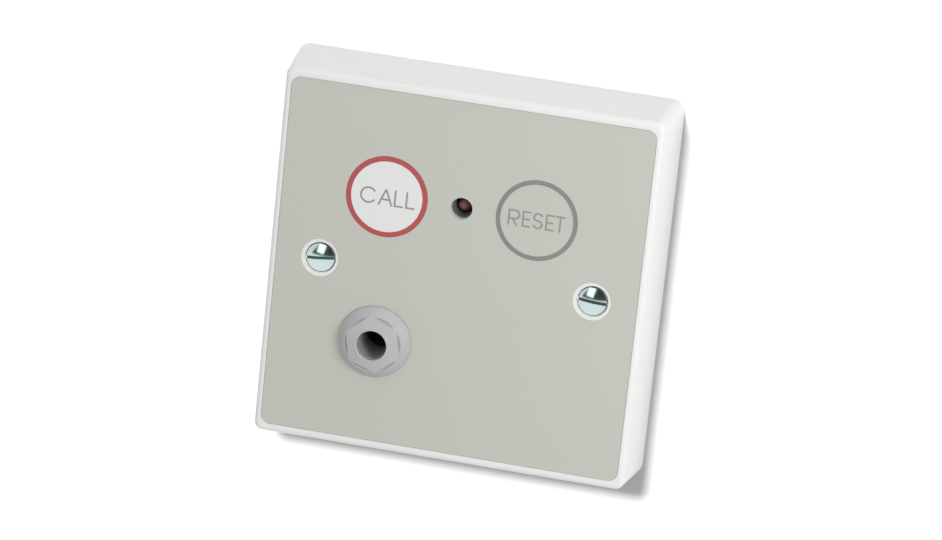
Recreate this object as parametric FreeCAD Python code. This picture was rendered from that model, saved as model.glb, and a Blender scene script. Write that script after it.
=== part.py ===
import FreeCAD, Part
import math
import os

# Nurse call point for a single wall box. All sizes are in millimetres.
# X runs to the right seen from the room, Y into the wall and Z up.
# The origin is the centre of the rear rim, in the plane of the wall.

# Moulded front plate
plate_size = 86.0
plate_front_size = 82.8
plate_depth = 16.0
back_corner_radius = 3.0
front_corner_radius = 1.9
front_edge_radius = 1.2
face_thickness = 2.5
side_thickness = 2.1
recess_depth = 0.30
rib_thickness = 1.2
rib_height = 3.0
rib_reach = 7.5

# Printed film on the face
film_width = 79.8
film_height = 78.9
film_corner_radius = 2.0
film_thickness = 0.25
film_edge_gap = 0.15
print_thickness = 0.03
film_screw_hole_radius = 4.26

# Row of the two press areas with the light between them
row_x = -0.27
row_z = 16.0
button_spacing = 33.05
call_ring_radius = 9.05
call_ring_width = 1.18
reset_ring_radius = 8.97
reset_ring_width = 1.03

# Pushers behind the film
pusher_radius = 7.60
pusher_gap = 0.30
pusher_top_gap = 0.05
flange_width = 0.80
flange_thickness = 0.80
flange_gap = 0.05
pusher_roof = 1.0
pusher_skirt = 0.9
stem_radius = 2.2

# Circuit board on four posts
board_width = 58.0
board_height = 60.0
board_thickness = 1.6
board_corner_radius = 2.0
board_front_depth = 8.5
board_cutout_gap = 1.2
tower_clearance = 1.5
post_x = 25.0
post_z = 26.0
lower_post_x = -3.0
post_radius = 2.4
post_root_radius = 2.8
pilot_radius = 1.0
pilot_depth = 5.2
board_screw_radius = 0.95
board_screw_length = 4.8
board_screw_head_radius = 2.1
board_screw_head_height = 1.4
board_screw_slot_width = 0.6
board_hole_gap = 0.25

# Push switches on the board
switch_size = 6.0
switch_height = 3.5
switch_cover_thickness = 0.3
switch_tab_width = 2.4
switch_well_radius = 2.15
switch_well_depth = 1.6
plunger_radius = 1.70
plunger_gap = 0.10
plunger_flange_radius = 2.00
plunger_flange_thickness = 0.65
plunger_height = 0.9
dome_radius = 1.95
dome_height = 0.40
dome_thickness = 0.12
lead_width = 0.7
lead_thickness = 0.3
lead_spread = 4.5
lead_tail = 0.9
hole_gap = 0.12

# Indicator light
lamp_hole_radius = 2.40
lamp_radius = 1.50
lamp_flange_radius = 1.90
lamp_flange_thickness = 1.0
lamp_length = 5.3
lamp_spacer_thickness = 0.5
lamp_lead_side = 0.5
lamp_lead_spread = 2.54
shroud_thickness = 0.9
shroud_length = 3.0

# Two screws that hold the plate to the wall box
screw_spacing = 60.3
screw_radius = 1.75
screw_shank_radius = 1.55
screw_shank_length = 17.0
screw_length = 35.0
screw_head_radius = 3.30
screw_head_depth = 0.50
screw_head_dome = 0.55
screw_point = 0.8
screw_slot_width = 0.85
screw_slot_depth = 1.15
left_slot_turn = 6.0
right_slot_turn = 0.0
tower_radius = 5.5
tower_back_gap = 0.6
screw_hole_gap = 0.25
screw_seat_gap = 0.05
head_hole_gap = 0.22

# Jack socket for the remote lead
jack_x = -16.25
jack_z = -16.75
jack_bore_radius = 3.30
jack_nose_radius = 4.50
jack_hole_gap = 0.20
jack_body_size = 16.0
jack_body_length = 26.5
jack_cavity_size = 11.0
jack_throat_length = 4.5
jack_lid_thickness = 1.5
jack_lid_plug = 1.0
jack_lid_gap = 0.10
contact_thickness = 0.35
contact_width = 2.4
contact_offset = 2.6
contact_wall_gap = 0.12
contact_deep_gap = 0.8
contact_fold = 0.8
tag_reach = 3.2
tip_bend_back = 7.0
tip_bend_reach = 1.65
ring_bend_back = 13.2
ring_bend_reach = 2.75
sleeve_bend_back = 17.5
sleeve_bend_reach = 2.85
tongue_end_rise = 1.3
tongue_end_length = 1.8

# Nut on the jack socket
nut_flange_radius = 8.05
nut_flange_edge = 0.50
nut_across_flats = 11.5
nut_front_flats = 10.8
nut_height = 3.75
nut_face_thickness = 1.5
nut_thread_gap = 0.10
nut_boss_height = 1.15
nut_crown_angle = 21.0
nut_crown_start = 0.40
nut_hollow_radius = 6.35
nut_hollow_depth = 0.5
nut_hollow_edge = 0.15
nut_mouth_chamfer = 0.25
nut_turn = 9.5

# Screw terminals on the back of the board
terminal_count = 4
terminal_pitch = 5.08
terminal_x = 11.0
terminal_z = -18.5
terminal_depth = 8.0
terminal_height = 9.4
terminal_screw_radius = 1.7
terminal_well_gap = 0.15
terminal_slot_width = 0.6
terminal_screw_sink = 1.0
clamp_width = 3.9
clamp_height = 4.4
clamp_wall = 0.7
clamp_gap = 0.10
terminal_floor = 1.2
pin_side = 0.8

# Small parts on the back of the board
chip_x = 12.0
chip_z = 1.0
chip_length = 8.7
chip_width = 3.9
chip_height = 1.35
chip_stand = 0.15
chip_pitch = 1.27
chip_leg_count = 7
chip_leg_width = 0.42
chip_leg_thickness = 0.22
chip_leg_reach = 1.05
resistor_length = 2.0
resistor_width = 1.25
resistor_height = 0.55
resistor_pitch = 3.2
resistor_row_x = -2.0
resistor_row_z = 1.0
resistor_count = 3
ceramic_length = 3.2
ceramic_width = 1.6
ceramic_height = 1.1
can_x = -17.5
can_z = 0.4
can_radius = 2.5
can_length = 7.0
can_groove_depth = 0.25
can_groove_width = 0.8
can_lead_radius = 0.25
can_lead_spread = 2.0

# Places worked out from the sizes above
face_y = -plate_depth
seat_y = face_y + recess_depth
film_y = seat_y - film_thickness
web_y = face_y + face_thickness
board_front_y = face_y + board_front_depth
board_back_y = board_front_y + board_thickness
call_x = row_x - button_spacing / 2
reset_x = row_x + button_spacing / 2
screw_xs = (-screw_spacing / 2, screw_spacing / 2)
switch_top_y = board_front_y - switch_height
plunger_top_y = switch_top_y - plunger_height
nut_front_y = film_y - nut_height
nose_front_y = nut_front_y + nut_face_thickness
jack_hole_radius = jack_nose_radius + jack_hole_gap
jack_lid_y = web_y + jack_body_length
jack_cavity_y = web_y + jack_throat_length
board_left_cut = jack_x + jack_body_size / 2 + board_cutout_gap
board_lower_cut = jack_z + jack_body_size / 2 + board_cutout_gap
tag_y = board_back_y + contact_thickness / 2
post_places = ((-post_x, post_z), (post_x, post_z), (post_x, -post_z), (lower_post_x, -post_z))
terminal_xs = [terminal_x + (i - (terminal_count - 1) / 2) * terminal_pitch for i in range(terminal_count)]
terminal_back_y = board_back_y + terminal_height


def vector(x, y, z):
    return FreeCAD.Vector(x, y, z)


# A round bar along the depth, from its front plane to its back plane.
def bar(x, z, radius, front, back):
    return Part.makeCylinder(radius, back - front, vector(x, front, z), vector(0, 1, 0))


# A cone along the depth, with its radius at the front and at the back plane.
def taper(x, z, front_radius, back_radius, front, back):
    return Part.makeCone(front_radius, back_radius, back - front, vector(x, front, z), vector(0, 1, 0))


# A square-edged block about a centre in X and Z, between two planes of depth.
def block(x, z, width, height, front, back):
    corner = vector(x - width / 2, front, z - height / 2)
    return Part.makeBox(width, back - front, height, corner)


# A closed outline with round corners, about a centre, in the plane at one depth.
def rounded_outline(width, height, radius, y, x=0.0, z=0.0):
    edges = []
    points = []
    for side_x, side_z, start in ((1, 1, 0), (-1, 1, 90), (-1, -1, 180), (1, -1, 270)):
        centre_x = x + side_x * (width / 2 - radius)
        centre_z = z + side_z * (height / 2 - radius)
        for step in (0, 45, 90):
            angle = math.radians(start + step)
            points.append(vector(centre_x + radius * math.cos(angle), y, centre_z + radius * math.sin(angle)))
    for corner in range(4):
        first, middle, last = points[3 * corner:3 * corner + 3]
        edges.append(Part.Arc(first, middle, last).toShape())
        edges.append(Part.LineSegment(last, points[(3 * corner + 3) % 12]).toShape())
    return Part.Wire(edges)


# A plate with round corners between two planes of depth.
def rounded_plate(width, height, radius, front, back, x=0.0, z=0.0):
    return Part.Face(rounded_outline(width, height, radius, front, x, z)).extrude(vector(0, back - front, 0))


# A turned solid about a line along the depth. Each step is a point of radius and depth,
# or a pair of points that makes an arc through the first to the second.
def turned(x, z, steps):
    edges = []
    start = steps[0]
    last = start
    for step in steps[1:] + [start]:
        if isinstance(step[0], tuple):
            middle, end = step
            points = [vector(x + r, y, z) for r, y in (last, middle, end)]
            edges.append(Part.Arc(*points).toShape())
            last = end
        else:
            edges.append(Part.LineSegment(vector(x + last[0], last[1], z), vector(x + step[0], step[1], z)).toShape())
            last = step
    return Part.Face(Part.Wire(edges)).revolve(vector(x, 0, z), vector(0, 1, 0), 360)


# The arc of a shallow dome from its rim forward to its crown, round in section and level at the crown.
def dome_arc(radius, rim, height):
    ball = (radius ** 2 + height ** 2) / (2 * height)
    half_angle = math.asin(radius / ball) / 2
    middle = (ball * math.sin(half_angle), rim - height + ball * (1 - math.cos(half_angle)))
    return (middle, (0.0, rim - height))


# A strip of even thickness bent along a line of points, each a reach and a depth.
# The strip is drawn about the jack's axis and turned so that its reach points to an angle.
def bent_strip(points, thickness, width, angle, offset):
    sides = ([], [])
    for i, (reach, depth) in enumerate(points):
        before = points[max(i - 1, 0)]
        after = points[min(i + 1, len(points) - 1)]
        normals = []
        for start, end in ((before, (reach, depth)), ((reach, depth), after)):
            length = math.hypot(end[0] - start[0], end[1] - start[1])
            if length > 0:
                normals.append((-(end[1] - start[1]) / length, (end[0] - start[0]) / length))
        normal_x = sum(n[0] for n in normals) / len(normals)
        normal_y = sum(n[1] for n in normals) / len(normals)
        stretch = thickness / 2 / (normal_x ** 2 + normal_y ** 2)
        sides[0].append((reach + normal_x * stretch, depth + normal_y * stretch))
        sides[1].append((reach - normal_x * stretch, depth - normal_y * stretch))
    corners = sides[0] + sides[1][::-1]
    low = offset - width / 2
    polygon = Part.makePolygon([vector(jack_x + r, y, jack_z + low) for r, y in corners + corners[:1]])
    strip = Part.Face(polygon).extrude(vector(0, 0, width))
    strip.rotate(vector(jack_x, 0, jack_z), vector(0, -1, 0), angle)
    return strip


# Half the plate's width at a depth: the sides lean in from the wall to the face.
def half_size(y):
    lean = (plate_size - plate_front_size) / 2 / plate_depth
    return plate_size / 2 + lean * y


# The slot across a round head, turned about the head's axis.
def head_slot(x, z, width, reach, front, back, turn):
    slot = block(x, z, 2 * reach, width, front, back)
    slot.rotate(vector(x, 0, z), vector(0, -1, 0), turn)
    return slot


# The moulding's outer shell: leaning sides, round front edge and a shallow recess for the film.
def plate_shell():
    outer = Part.makeLoft([
        rounded_outline(plate_size, plate_size, back_corner_radius, 0.0),
        rounded_outline(plate_front_size, plate_front_size, front_corner_radius, face_y),
    ], True, True)
    front_edges = [e for e in outer.Edges if all(abs(v.Y - face_y) < 1e-6 for v in e.Vertexes)]
    outer = outer.makeFillet(front_edge_radius, front_edges)
    inner_back = 2 * (half_size(0.0) - side_thickness)
    inner_front = 2 * (half_size(web_y) - side_thickness)
    inner = Part.makeLoft([
        rounded_outline(inner_back, inner_back, back_corner_radius - side_thickness / 2, 0.0),
        rounded_outline(inner_front, inner_front, front_corner_radius - side_thickness / 2, web_y),
    ], True, True)
    recess = rounded_plate(film_width + 2 * film_edge_gap, film_height + 2 * film_edge_gap,
                           film_corner_radius + film_edge_gap, face_y, seat_y)
    return outer.cut(inner).cut(recess)


# Webs that join each screw tower to the side wall and stiffen the face above and below it.
def plate_ribs():
    ribs = []
    for x in screw_xs:
        side = math.copysign(1.0, x)
        wall = side * (half_size(web_y) - side_thickness / 2)
        middle = (x + wall) / 2
        ribs.append(block(middle, 0.0, abs(wall - x), rib_thickness, web_y, web_y + rib_height))
        reach = 2 * (tower_radius + rib_reach)
        ribs.append(block(x, 0.0, rib_thickness, reach, web_y, web_y + rib_height))
    return ribs


# The front plate with its towers, posts, lamp shroud, ribs and every hole.
def front_plate():
    plate = plate_shell()
    solids = plate_ribs()
    for x in screw_xs:
        solids.append(bar(x, 0.0, tower_radius, web_y, -tower_back_gap))
    for x, z in post_places:
        solids.append(taper(x, z, post_root_radius, post_radius, web_y, board_front_y))
    solids.append(bar(row_x, row_z, lamp_hole_radius + shroud_thickness, web_y, web_y + shroud_length))
    plate = plate.multiFuse(solids)
    holes = []
    for x in screw_xs:
        seat = film_y + screw_head_depth - screw_seat_gap
        hole_radius = screw_radius + screw_hole_gap
        holes.append(bar(x, 0.0, screw_head_radius + head_hole_gap, face_y, seat))
        cone_end = seat + screw_head_radius + head_hole_gap - hole_radius
        holes.append(taper(x, 0.0, screw_head_radius + head_hole_gap, hole_radius, seat, cone_end))
        holes.append(bar(x, 0.0, hole_radius, face_y, 0.0))
    for x, z in post_places:
        holes.append(bar(x, z, pilot_radius, board_front_y - pilot_depth, board_front_y))
    for x in (call_x, reset_x):
        holes.append(bar(x, row_z, pusher_radius + pusher_gap, face_y, web_y))
    holes.append(bar(row_x, row_z, lamp_hole_radius, face_y, web_y + shroud_length))
    holes.append(bar(jack_x, jack_z, jack_hole_radius, face_y, web_y))
    return plate.cut(holes).removeSplitter()


# The printed film, with openings for the screws, the light and the jack.
def overlay_film():
    film = rounded_plate(film_width, film_height, film_corner_radius, film_y, seat_y)
    holes = [bar(x, 0.0, film_screw_hole_radius, film_y, seat_y) for x in screw_xs]
    holes.append(bar(row_x, row_z, lamp_hole_radius, film_y, seat_y))
    holes.append(bar(jack_x, jack_z, jack_hole_radius, film_y, seat_y))
    return film.cut(holes)


# A disc of ink on the film.
def disc_print(x, radius):
    return bar(x, row_z, radius, film_y - print_thickness, film_y)


# A ring of ink on the film.
def ring_print(x, radius, width):
    return disc_print(x, radius).cut(disc_print(x, radius - width))


# The pusher behind a press area: a hollow cap with a collar that stays behind the face and a stem.
def pusher(x):
    top = seat_y + pusher_top_gap
    collar = web_y + flange_gap
    collar_radius = pusher_radius + pusher_gap + flange_width
    inner = pusher_radius - pusher_skirt
    return turned(x, row_z, [
        (0.0, top),
        (pusher_radius, top),
        (pusher_radius, collar),
        (collar_radius, collar),
        (collar_radius, collar + flange_thickness),
        (inner, collar + flange_thickness),
        (inner, top + pusher_roof),
        (stem_radius, top + pusher_roof),
        (stem_radius, plunger_top_y),
        (0.0, plunger_top_y),
    ])


# Places of a switch's four leads about its centre.
def lead_places(x):
    reach = switch_size / 2 + lead_thickness / 2
    return [(x + side * reach, row_z + level * lead_spread / 2) for side in (-1, 1) for level in (-1, 1)]


# The circuit board: cut away round the jack and the two towers, and drilled for what it carries.
def circuit_board():
    board = rounded_plate(board_width, board_height, board_corner_radius, board_front_y, board_back_y)
    width = board_left_cut + board_width / 2
    height = board_lower_cut + board_height / 2
    corner = rounded_plate(2 * width, 2 * height, board_corner_radius, board_front_y, board_back_y,
                           -board_width / 2, -board_height / 2)
    holes = [corner]
    for x in screw_xs:
        holes.append(bar(x, 0.0, tower_radius + tower_clearance, board_front_y, board_back_y))
    for x, z in post_places:
        holes.append(bar(x, z, board_screw_radius + board_hole_gap, board_front_y, board_back_y))
    lead_hole = math.hypot(lead_width, lead_thickness) / 2 + hole_gap
    for x in (call_x, reset_x):
        for lead_x, lead_z in lead_places(x):
            holes.append(bar(lead_x, lead_z, lead_hole, board_front_y, board_back_y))
    lamp_hole = lamp_lead_side / math.sqrt(2) + hole_gap
    for side in (-1, 1):
        holes.append(bar(row_x + side * lamp_lead_spread / 2, row_z, lamp_hole, board_front_y, board_back_y))
    pin_hole = pin_side / math.sqrt(2) + hole_gap
    for x in terminal_xs:
        holes.append(bar(x, terminal_z, pin_hole, board_front_y, board_back_y))
    for side in (-1, 1):
        holes.append(bar(can_x, can_z + side * can_lead_spread / 2, can_lead_radius + hole_gap,
                         board_front_y, board_back_y))
    return board.cut(holes)


# The black base of a push switch, with the well that its plunger moves in.
def switch_base(x):
    top = switch_top_y + switch_cover_thickness
    base = block(x, row_z, switch_size, switch_size, top, board_front_y)
    return base.cut(bar(x, row_z, switch_well_radius, top, top + switch_well_depth))


# The steel cover of a push switch, with two tabs folded down over the base.
def switch_cover(x):
    top = switch_top_y
    sheet = block(x, row_z, switch_size, switch_size + 2 * switch_cover_thickness, top, top + switch_cover_thickness)
    tabs = []
    for side in (-1, 1):
        z = row_z + side * (switch_size + switch_cover_thickness) / 2
        tabs.append(block(x, z, switch_tab_width, switch_cover_thickness, top, top + switch_height * 0.7))
    hole = bar(x, row_z, plunger_radius + plunger_gap, top, top + switch_cover_thickness)
    return sheet.multiFuse(tabs).cut(hole).removeSplitter()


# The sprung dome at the bottom of a switch's well.
def switch_dome(x):
    floor = switch_top_y + switch_cover_thickness + switch_well_depth
    edge = floor - dome_thickness
    outer = turned(x, row_z, [(0.0, floor), (dome_radius, floor), (dome_radius, edge),
                              dome_arc(dome_radius, edge, dome_height - dome_thickness)])
    inner_radius = dome_radius - 2 * dome_thickness
    inner = turned(x, row_z, [(0.0, floor), (inner_radius, floor),
                              dome_arc(inner_radius, floor, dome_height - dome_thickness)])
    return outer.cut(inner)


# The plunger of a switch: a round post on a flange that the cover keeps in.
def switch_plunger(x):
    under = switch_top_y + switch_cover_thickness + flange_gap
    return turned(x, row_z, [
        (0.0, plunger_top_y),
        (plunger_radius, plunger_top_y),
        (plunger_radius, under),
        (plunger_flange_radius, under),
        (plunger_flange_radius, under + plunger_flange_thickness),
        (0.0, under + plunger_flange_thickness),
    ])


# The four flat leads of a switch, down its sides and through the board.
def switch_leads(x):
    top = board_front_y - switch_height / 3
    back = board_back_y + lead_tail
    return Part.makeCompound([
        block(lead_x, lead_z, lead_thickness, lead_width, top, back) for lead_x, lead_z in lead_places(x)
    ])


# The lamp's clear red body, with a domed nose and a foot flange.
def indicator_lens():
    foot = board_front_y - lamp_spacer_thickness
    tip = foot - lamp_length
    shoulder = tip + lamp_radius
    knee = lamp_radius * math.sqrt(0.5)
    return turned(row_x, row_z, [
        (0.0, foot),
        (lamp_flange_radius, foot),
        (lamp_flange_radius, foot - lamp_flange_thickness),
        (lamp_radius, foot - lamp_flange_thickness),
        (lamp_radius, shoulder),
        ((knee, shoulder - knee), (0.0, tip)),
    ])


# The lamp's two wires.
def indicator_leads():
    foot = board_front_y - lamp_spacer_thickness
    wires = []
    for side in (-1, 1):
        x = row_x + side * lamp_lead_spread / 2
        wires.append(block(x, row_z, lamp_lead_side, lamp_lead_side, foot, board_back_y + lead_tail))
    return Part.makeCompound(wires)


# The thin spacer that the lamp stands on.
def indicator_spacer():
    foot = board_front_y - lamp_spacer_thickness
    disc = bar(row_x, row_z, lamp_flange_radius, foot, board_front_y)
    for side in (-1, 1):
        x = row_x + side * lamp_lead_spread / 2
        disc = disc.cut(bar(x, row_z, lamp_lead_side / math.sqrt(2) + hole_gap / 2, foot, board_front_y))
    return disc


# One raised countersunk screw with a straight slot: a plain shank through the plate, then the thread.
def wall_screw(x, turn):
    rim = film_y + screw_head_depth
    crown = rim - screw_head_dome
    neck = rim + screw_head_radius - screw_shank_radius
    thread = crown + screw_shank_length
    end = crown + screw_length
    screw = turned(x, 0.0, [
        (0.0, end),
        (screw_radius - screw_point, end),
        (screw_radius, end - screw_point),
        (screw_radius, thread),
        (screw_shank_radius, thread - (screw_radius - screw_shank_radius)),
        (screw_shank_radius, neck),
        (screw_head_radius, rim),
        dome_arc(screw_head_radius, rim, screw_head_dome),
    ])
    slot = head_slot(x, 0.0, screw_slot_width, screw_head_radius + 1.0, crown - 1.0, crown + screw_slot_depth, turn)
    return screw.cut(slot)


# The pair of screws that hold the plate.
def wall_screws():
    turns = (left_slot_turn, right_slot_turn)
    return Part.makeCompound([wall_screw(x, turn) for x, turn in zip(screw_xs, turns)])


# The four small screws that hold the board on its posts.
def board_screws():
    screws = []
    for x, z in post_places:
        head_back = board_back_y + board_screw_head_height
        screw = turned(x, z, [
            (0.0, board_back_y - board_thickness - board_screw_length),
            (board_screw_radius, board_back_y - board_thickness - board_screw_length + board_screw_radius),
            (board_screw_radius, board_back_y),
            (board_screw_head_radius, board_back_y),
            (board_screw_head_radius, head_back - board_screw_head_height / 2),
            ((board_screw_head_radius * 0.8, head_back - board_screw_head_height / 8), (0.0, head_back)),
        ])
        reach = board_screw_head_radius * 0.6
        for turn in (0, 90):
            slot = head_slot(x, z, board_screw_slot_width, reach, head_back - board_screw_head_height / 2,
                             head_back + 1.0, turn)
            screw = screw.cut(slot)
        screws.append(screw)
    return Part.makeCompound(screws)


# The jack's grey housing: a round nose through the face and a square chamber behind it.
def jack_body():
    body = rounded_plate(jack_body_size, jack_body_size, 0.8, web_y, jack_lid_y, jack_x, jack_z)
    nose = bar(jack_x, jack_z, jack_nose_radius, nose_front_y, web_y)
    body = body.fuse(nose)
    chamber = block(jack_x, jack_z, jack_cavity_size, jack_cavity_size, jack_cavity_y, jack_lid_y)
    bore = bar(jack_x, jack_z, jack_bore_radius, nose_front_y, jack_cavity_y)
    body = body.cut([chamber, bore])
    slot_front = tag_y - contact_thickness / 2 - contact_wall_gap
    slot_back = tag_y + contact_thickness / 2 + contact_wall_gap
    slot_width = contact_width + 2 * contact_wall_gap
    middle = (jack_cavity_size + jack_body_size) / 4
    deep = (jack_body_size - jack_cavity_size) / 2
    slots = [block(jack_x + middle, jack_z, deep + 1.0, slot_width, slot_front, slot_back)]
    for side in (-1, 1):
        slots.append(block(jack_x + side * contact_offset, jack_z + middle, slot_width, deep + 1.0,
                           slot_front, slot_back))
    return body.cut(slots).removeSplitter()


# The lid that closes the jack's chamber from behind.
def jack_back_cover():
    lid = rounded_plate(jack_body_size, jack_body_size, 0.8, jack_lid_y, jack_lid_y + jack_lid_thickness,
                        jack_x, jack_z)
    inner = jack_cavity_size - 2 * jack_lid_gap
    return lid.fuse(block(jack_x, jack_z, inner, inner, jack_lid_y - jack_lid_plug, jack_lid_y))


# One sprung contact: a tag on the board, a leg along the chamber's wall and a bent tongue.
# The tongue turns back at the deep end and touches the plug at its bend.
def jack_contact(bend_back, bend_reach, tag_end, angle, offset):
    leg = jack_cavity_size / 2 - contact_wall_gap - contact_thickness / 2
    deep = jack_lid_y - jack_lid_plug - contact_deep_gap
    bend_y = jack_lid_y - bend_back
    points = [
        (tag_end, tag_y),
        (leg, tag_y),
        (leg, deep - contact_fold),
        (leg - contact_fold, deep),
        (bend_reach, bend_y),
        (bend_reach + tongue_end_rise, bend_y - tongue_end_length),
    ]
    return bent_strip(points, contact_thickness, contact_width, angle, offset)


# The contact for the plug's tip, on the side towards the middle of the plate.
def jack_tip_contact():
    return jack_contact(tip_bend_back, tip_bend_reach, board_left_cut - jack_x + tag_reach, 0.0, 0.0)


# The contact for the plug's ring, above the plug.
def jack_ring_contact():
    tag_end = board_lower_cut - jack_z + tag_reach
    return jack_contact(ring_bend_back, ring_bend_reach, tag_end, 90.0, contact_offset)


# The contact for the plug's sleeve, above the plug and nearest to the nose.
def jack_sleeve_contact():
    tag_end = board_lower_cut - jack_z + tag_reach
    return jack_contact(sleeve_bend_back, sleeve_bend_reach, tag_end, 90.0, -contact_offset)


# The outline of the nut's hexagon at one depth, by its size across the flats.
def nut_hexagon(across_flats, y):
    corner = across_flats / 2 / math.cos(math.radians(30))
    angles = [math.radians(60 * i + 30 + nut_turn) for i in range(6)]
    points = [vector(jack_x + corner * math.cos(a), y, jack_z + corner * math.sin(a)) for a in angles]
    return Part.makePolygon(points + points[:1])


# The grey nut: a flanged cone, and on it a crowned hexagon with a hollow beside each flat.
def jack_nut():
    cone_top = nut_front_y + nut_boss_height
    hollow_floor = cone_top + nut_hollow_depth
    nut = taper(jack_x, jack_z, nut_hollow_radius + nut_hollow_edge, nut_flange_radius, cone_top,
                film_y - nut_flange_edge)
    nut = nut.fuse(bar(jack_x, jack_z, nut_flange_radius, film_y - nut_flange_edge, film_y))
    nut = nut.cut(bar(jack_x, jack_z, nut_hollow_radius, cone_top, hollow_floor))
    outlines = [nut_hexagon(nut_front_flats, nut_front_y), nut_hexagon(nut_across_flats, hollow_floor)]
    boss = Part.makeLoft(outlines, True, True)
    crown_radius = jack_bore_radius + nut_crown_start
    crown_y = nut_front_y + (nut_flange_radius - crown_radius) * math.tan(math.radians(nut_crown_angle))
    crown = taper(jack_x, jack_z, crown_radius, nut_flange_radius, nut_front_y, crown_y)
    crown = crown.fuse(bar(jack_x, jack_z, nut_flange_radius, crown_y, film_y))
    nut = nut.fuse(boss.common(crown))
    mouth = bar(jack_x, jack_z, jack_bore_radius, nut_front_y, nose_front_y)
    mouth = mouth.fuse(taper(jack_x, jack_z, jack_bore_radius + nut_mouth_chamfer, jack_bore_radius,
                             nut_front_y, nut_front_y + nut_mouth_chamfer))
    thread = bar(jack_x, jack_z, jack_nose_radius + nut_thread_gap, nose_front_y, film_y)
    return nut.cut([mouth, thread]).removeSplitter()


# The terminals' housing: a well for each screw from behind and a mouth for each wire below.
def terminal_housing():
    width = terminal_count * terminal_pitch
    housing = block(terminal_x, terminal_z, width, terminal_depth, board_back_y, terminal_back_y)
    slope = block(terminal_x, terminal_z + terminal_depth / 2, width, 2.4, terminal_back_y - 1.2, terminal_back_y)
    slope.rotate(vector(terminal_x, terminal_back_y, terminal_z + terminal_depth / 2), vector(1, 0, 0), -35)
    housing = housing.cut(slope)
    cuts = []
    floor = board_back_y + terminal_floor
    cell = clamp_width + 2 * clamp_gap
    bottom = terminal_z - terminal_depth / 2
    top = terminal_z + cell / 2
    for x in terminal_xs:
        cuts.append(bar(x, terminal_z, terminal_screw_radius + terminal_well_gap, floor, terminal_back_y))
        cuts.append(block(x, (bottom + top) / 2, cell, top - bottom, floor, floor + clamp_height + clamp_gap))
        cuts.append(block(x, terminal_z, pin_side + 2 * clamp_gap, pin_side + 2 * clamp_gap, board_back_y, floor))
    return housing.cut(cuts)


# The brass cages that clamp the wires.
def terminal_clamps():
    cages = []
    floor = board_back_y + terminal_floor
    for x in terminal_xs:
        cage = block(x, terminal_z, clamp_width, clamp_width, floor, floor + clamp_height)
        inner = clamp_width - 2 * clamp_wall
        mouth = block(x, terminal_z, inner, clamp_width, floor + clamp_wall, floor + clamp_height - clamp_wall)
        hole = bar(x, terminal_z, terminal_screw_radius * 0.75, floor + clamp_height / 2, floor + clamp_height)
        cages.append(cage.cut([mouth, hole]))
    return Part.makeCompound(cages)


# The terminals' screws, sunk in their wells.
def terminal_screws():
    screws = []
    floor = board_back_y + terminal_floor
    clamp_back = floor + clamp_height
    head = terminal_back_y - terminal_screw_sink
    shank = terminal_screw_radius * 0.75 - clamp_gap / 2
    for x in terminal_xs:
        screw = turned(x, terminal_z, [
            (0.0, floor + clamp_wall + 0.9),
            (shank, floor + clamp_wall + 0.9),
            (shank, clamp_back + clamp_gap),
            (terminal_screw_radius, clamp_back + clamp_gap),
            (terminal_screw_radius, head),
            (0.0, head),
        ])
        slot = head_slot(x, terminal_z, terminal_slot_width, terminal_screw_radius + 0.5, head - 0.7, head + 0.5,
                         18.0 * (x - terminal_x) / terminal_pitch)
        screws.append(screw.cut(slot))
    return Part.makeCompound(screws)


# The pins that carry the clamps and go through the board.
def terminal_pins():
    floor = board_back_y + terminal_floor
    front = board_front_y - lead_tail
    return Part.makeCompound([block(x, terminal_z, pin_side, pin_side, front, floor) for x in terminal_xs])


# The body of the control chip.
def control_chip():
    low = board_back_y + chip_stand
    return block(chip_x, chip_z, chip_length, chip_width, low, low + chip_height)


# The chip's bent legs, in two rows.
def control_chip_legs():
    legs = []
    shoulder = board_back_y + chip_stand + chip_height / 2
    for i in range(chip_leg_count):
        x = chip_x + (i - (chip_leg_count - 1) / 2) * chip_pitch
        for side in (-1, 1):
            root = chip_z + side * chip_width / 2
            knee = root + side * chip_leg_reach * 0.4
            toe = root + side * chip_leg_reach
            half = chip_leg_thickness / 2
            arm = block(x, (root + knee) / 2, chip_leg_width, abs(knee - root), shoulder - half, shoulder + half)
            drop = block(x, knee, chip_leg_width, chip_leg_thickness, board_back_y, shoulder + half)
            foot = block(x, (knee + toe) / 2, chip_leg_width, abs(toe - knee), board_back_y,
                         board_back_y + chip_leg_thickness)
            legs.append(arm.multiFuse([drop, foot]).removeSplitter())
    return Part.makeCompound(legs)


# Two rows of small flat resistors.
def board_resistors():
    parts = []
    for i in range(resistor_count):
        for row in (-1, 1):
            x = resistor_row_x + row * resistor_pitch / 2
            z = resistor_row_z + (i - (resistor_count - 1) / 2) * resistor_pitch
            parts.append(block(x, z, resistor_length, resistor_width, board_back_y, board_back_y + resistor_height))
    return Part.makeCompound(parts)


# The flat ceramic capacitors beside the chip.
def board_capacitors():
    parts = []
    for side in (-1, 1):
        z = chip_z + side * (chip_width / 2 + chip_leg_reach + ceramic_width)
        parts.append(block(chip_x, z, ceramic_length, ceramic_width, board_back_y, board_back_y + ceramic_height))
    return Part.makeCompound(parts)


# The round can of the smoothing capacitor, which stands on the board.
def smoothing_capacitor():
    back = board_back_y + can_length
    groove = board_back_y + can_groove_width
    return turned(can_x, can_z, [
        (0.0, board_back_y),
        (can_radius, board_back_y),
        (can_radius, groove),
        ((can_radius - can_groove_depth, groove + can_groove_width / 2), (can_radius, groove + can_groove_width)),
        (can_radius, back - can_groove_depth),
        (can_radius - can_groove_depth, back),
        (0.0, back),
    ])


# The capacitor's two wires through the board.
def capacitor_leads():
    front = board_front_y - lead_tail
    places = [can_z + side * can_lead_spread / 2 for side in (-1, 1)]
    return Part.makeCompound([bar(can_x, z, can_lead_radius, front, board_back_y) for z in places])


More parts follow.
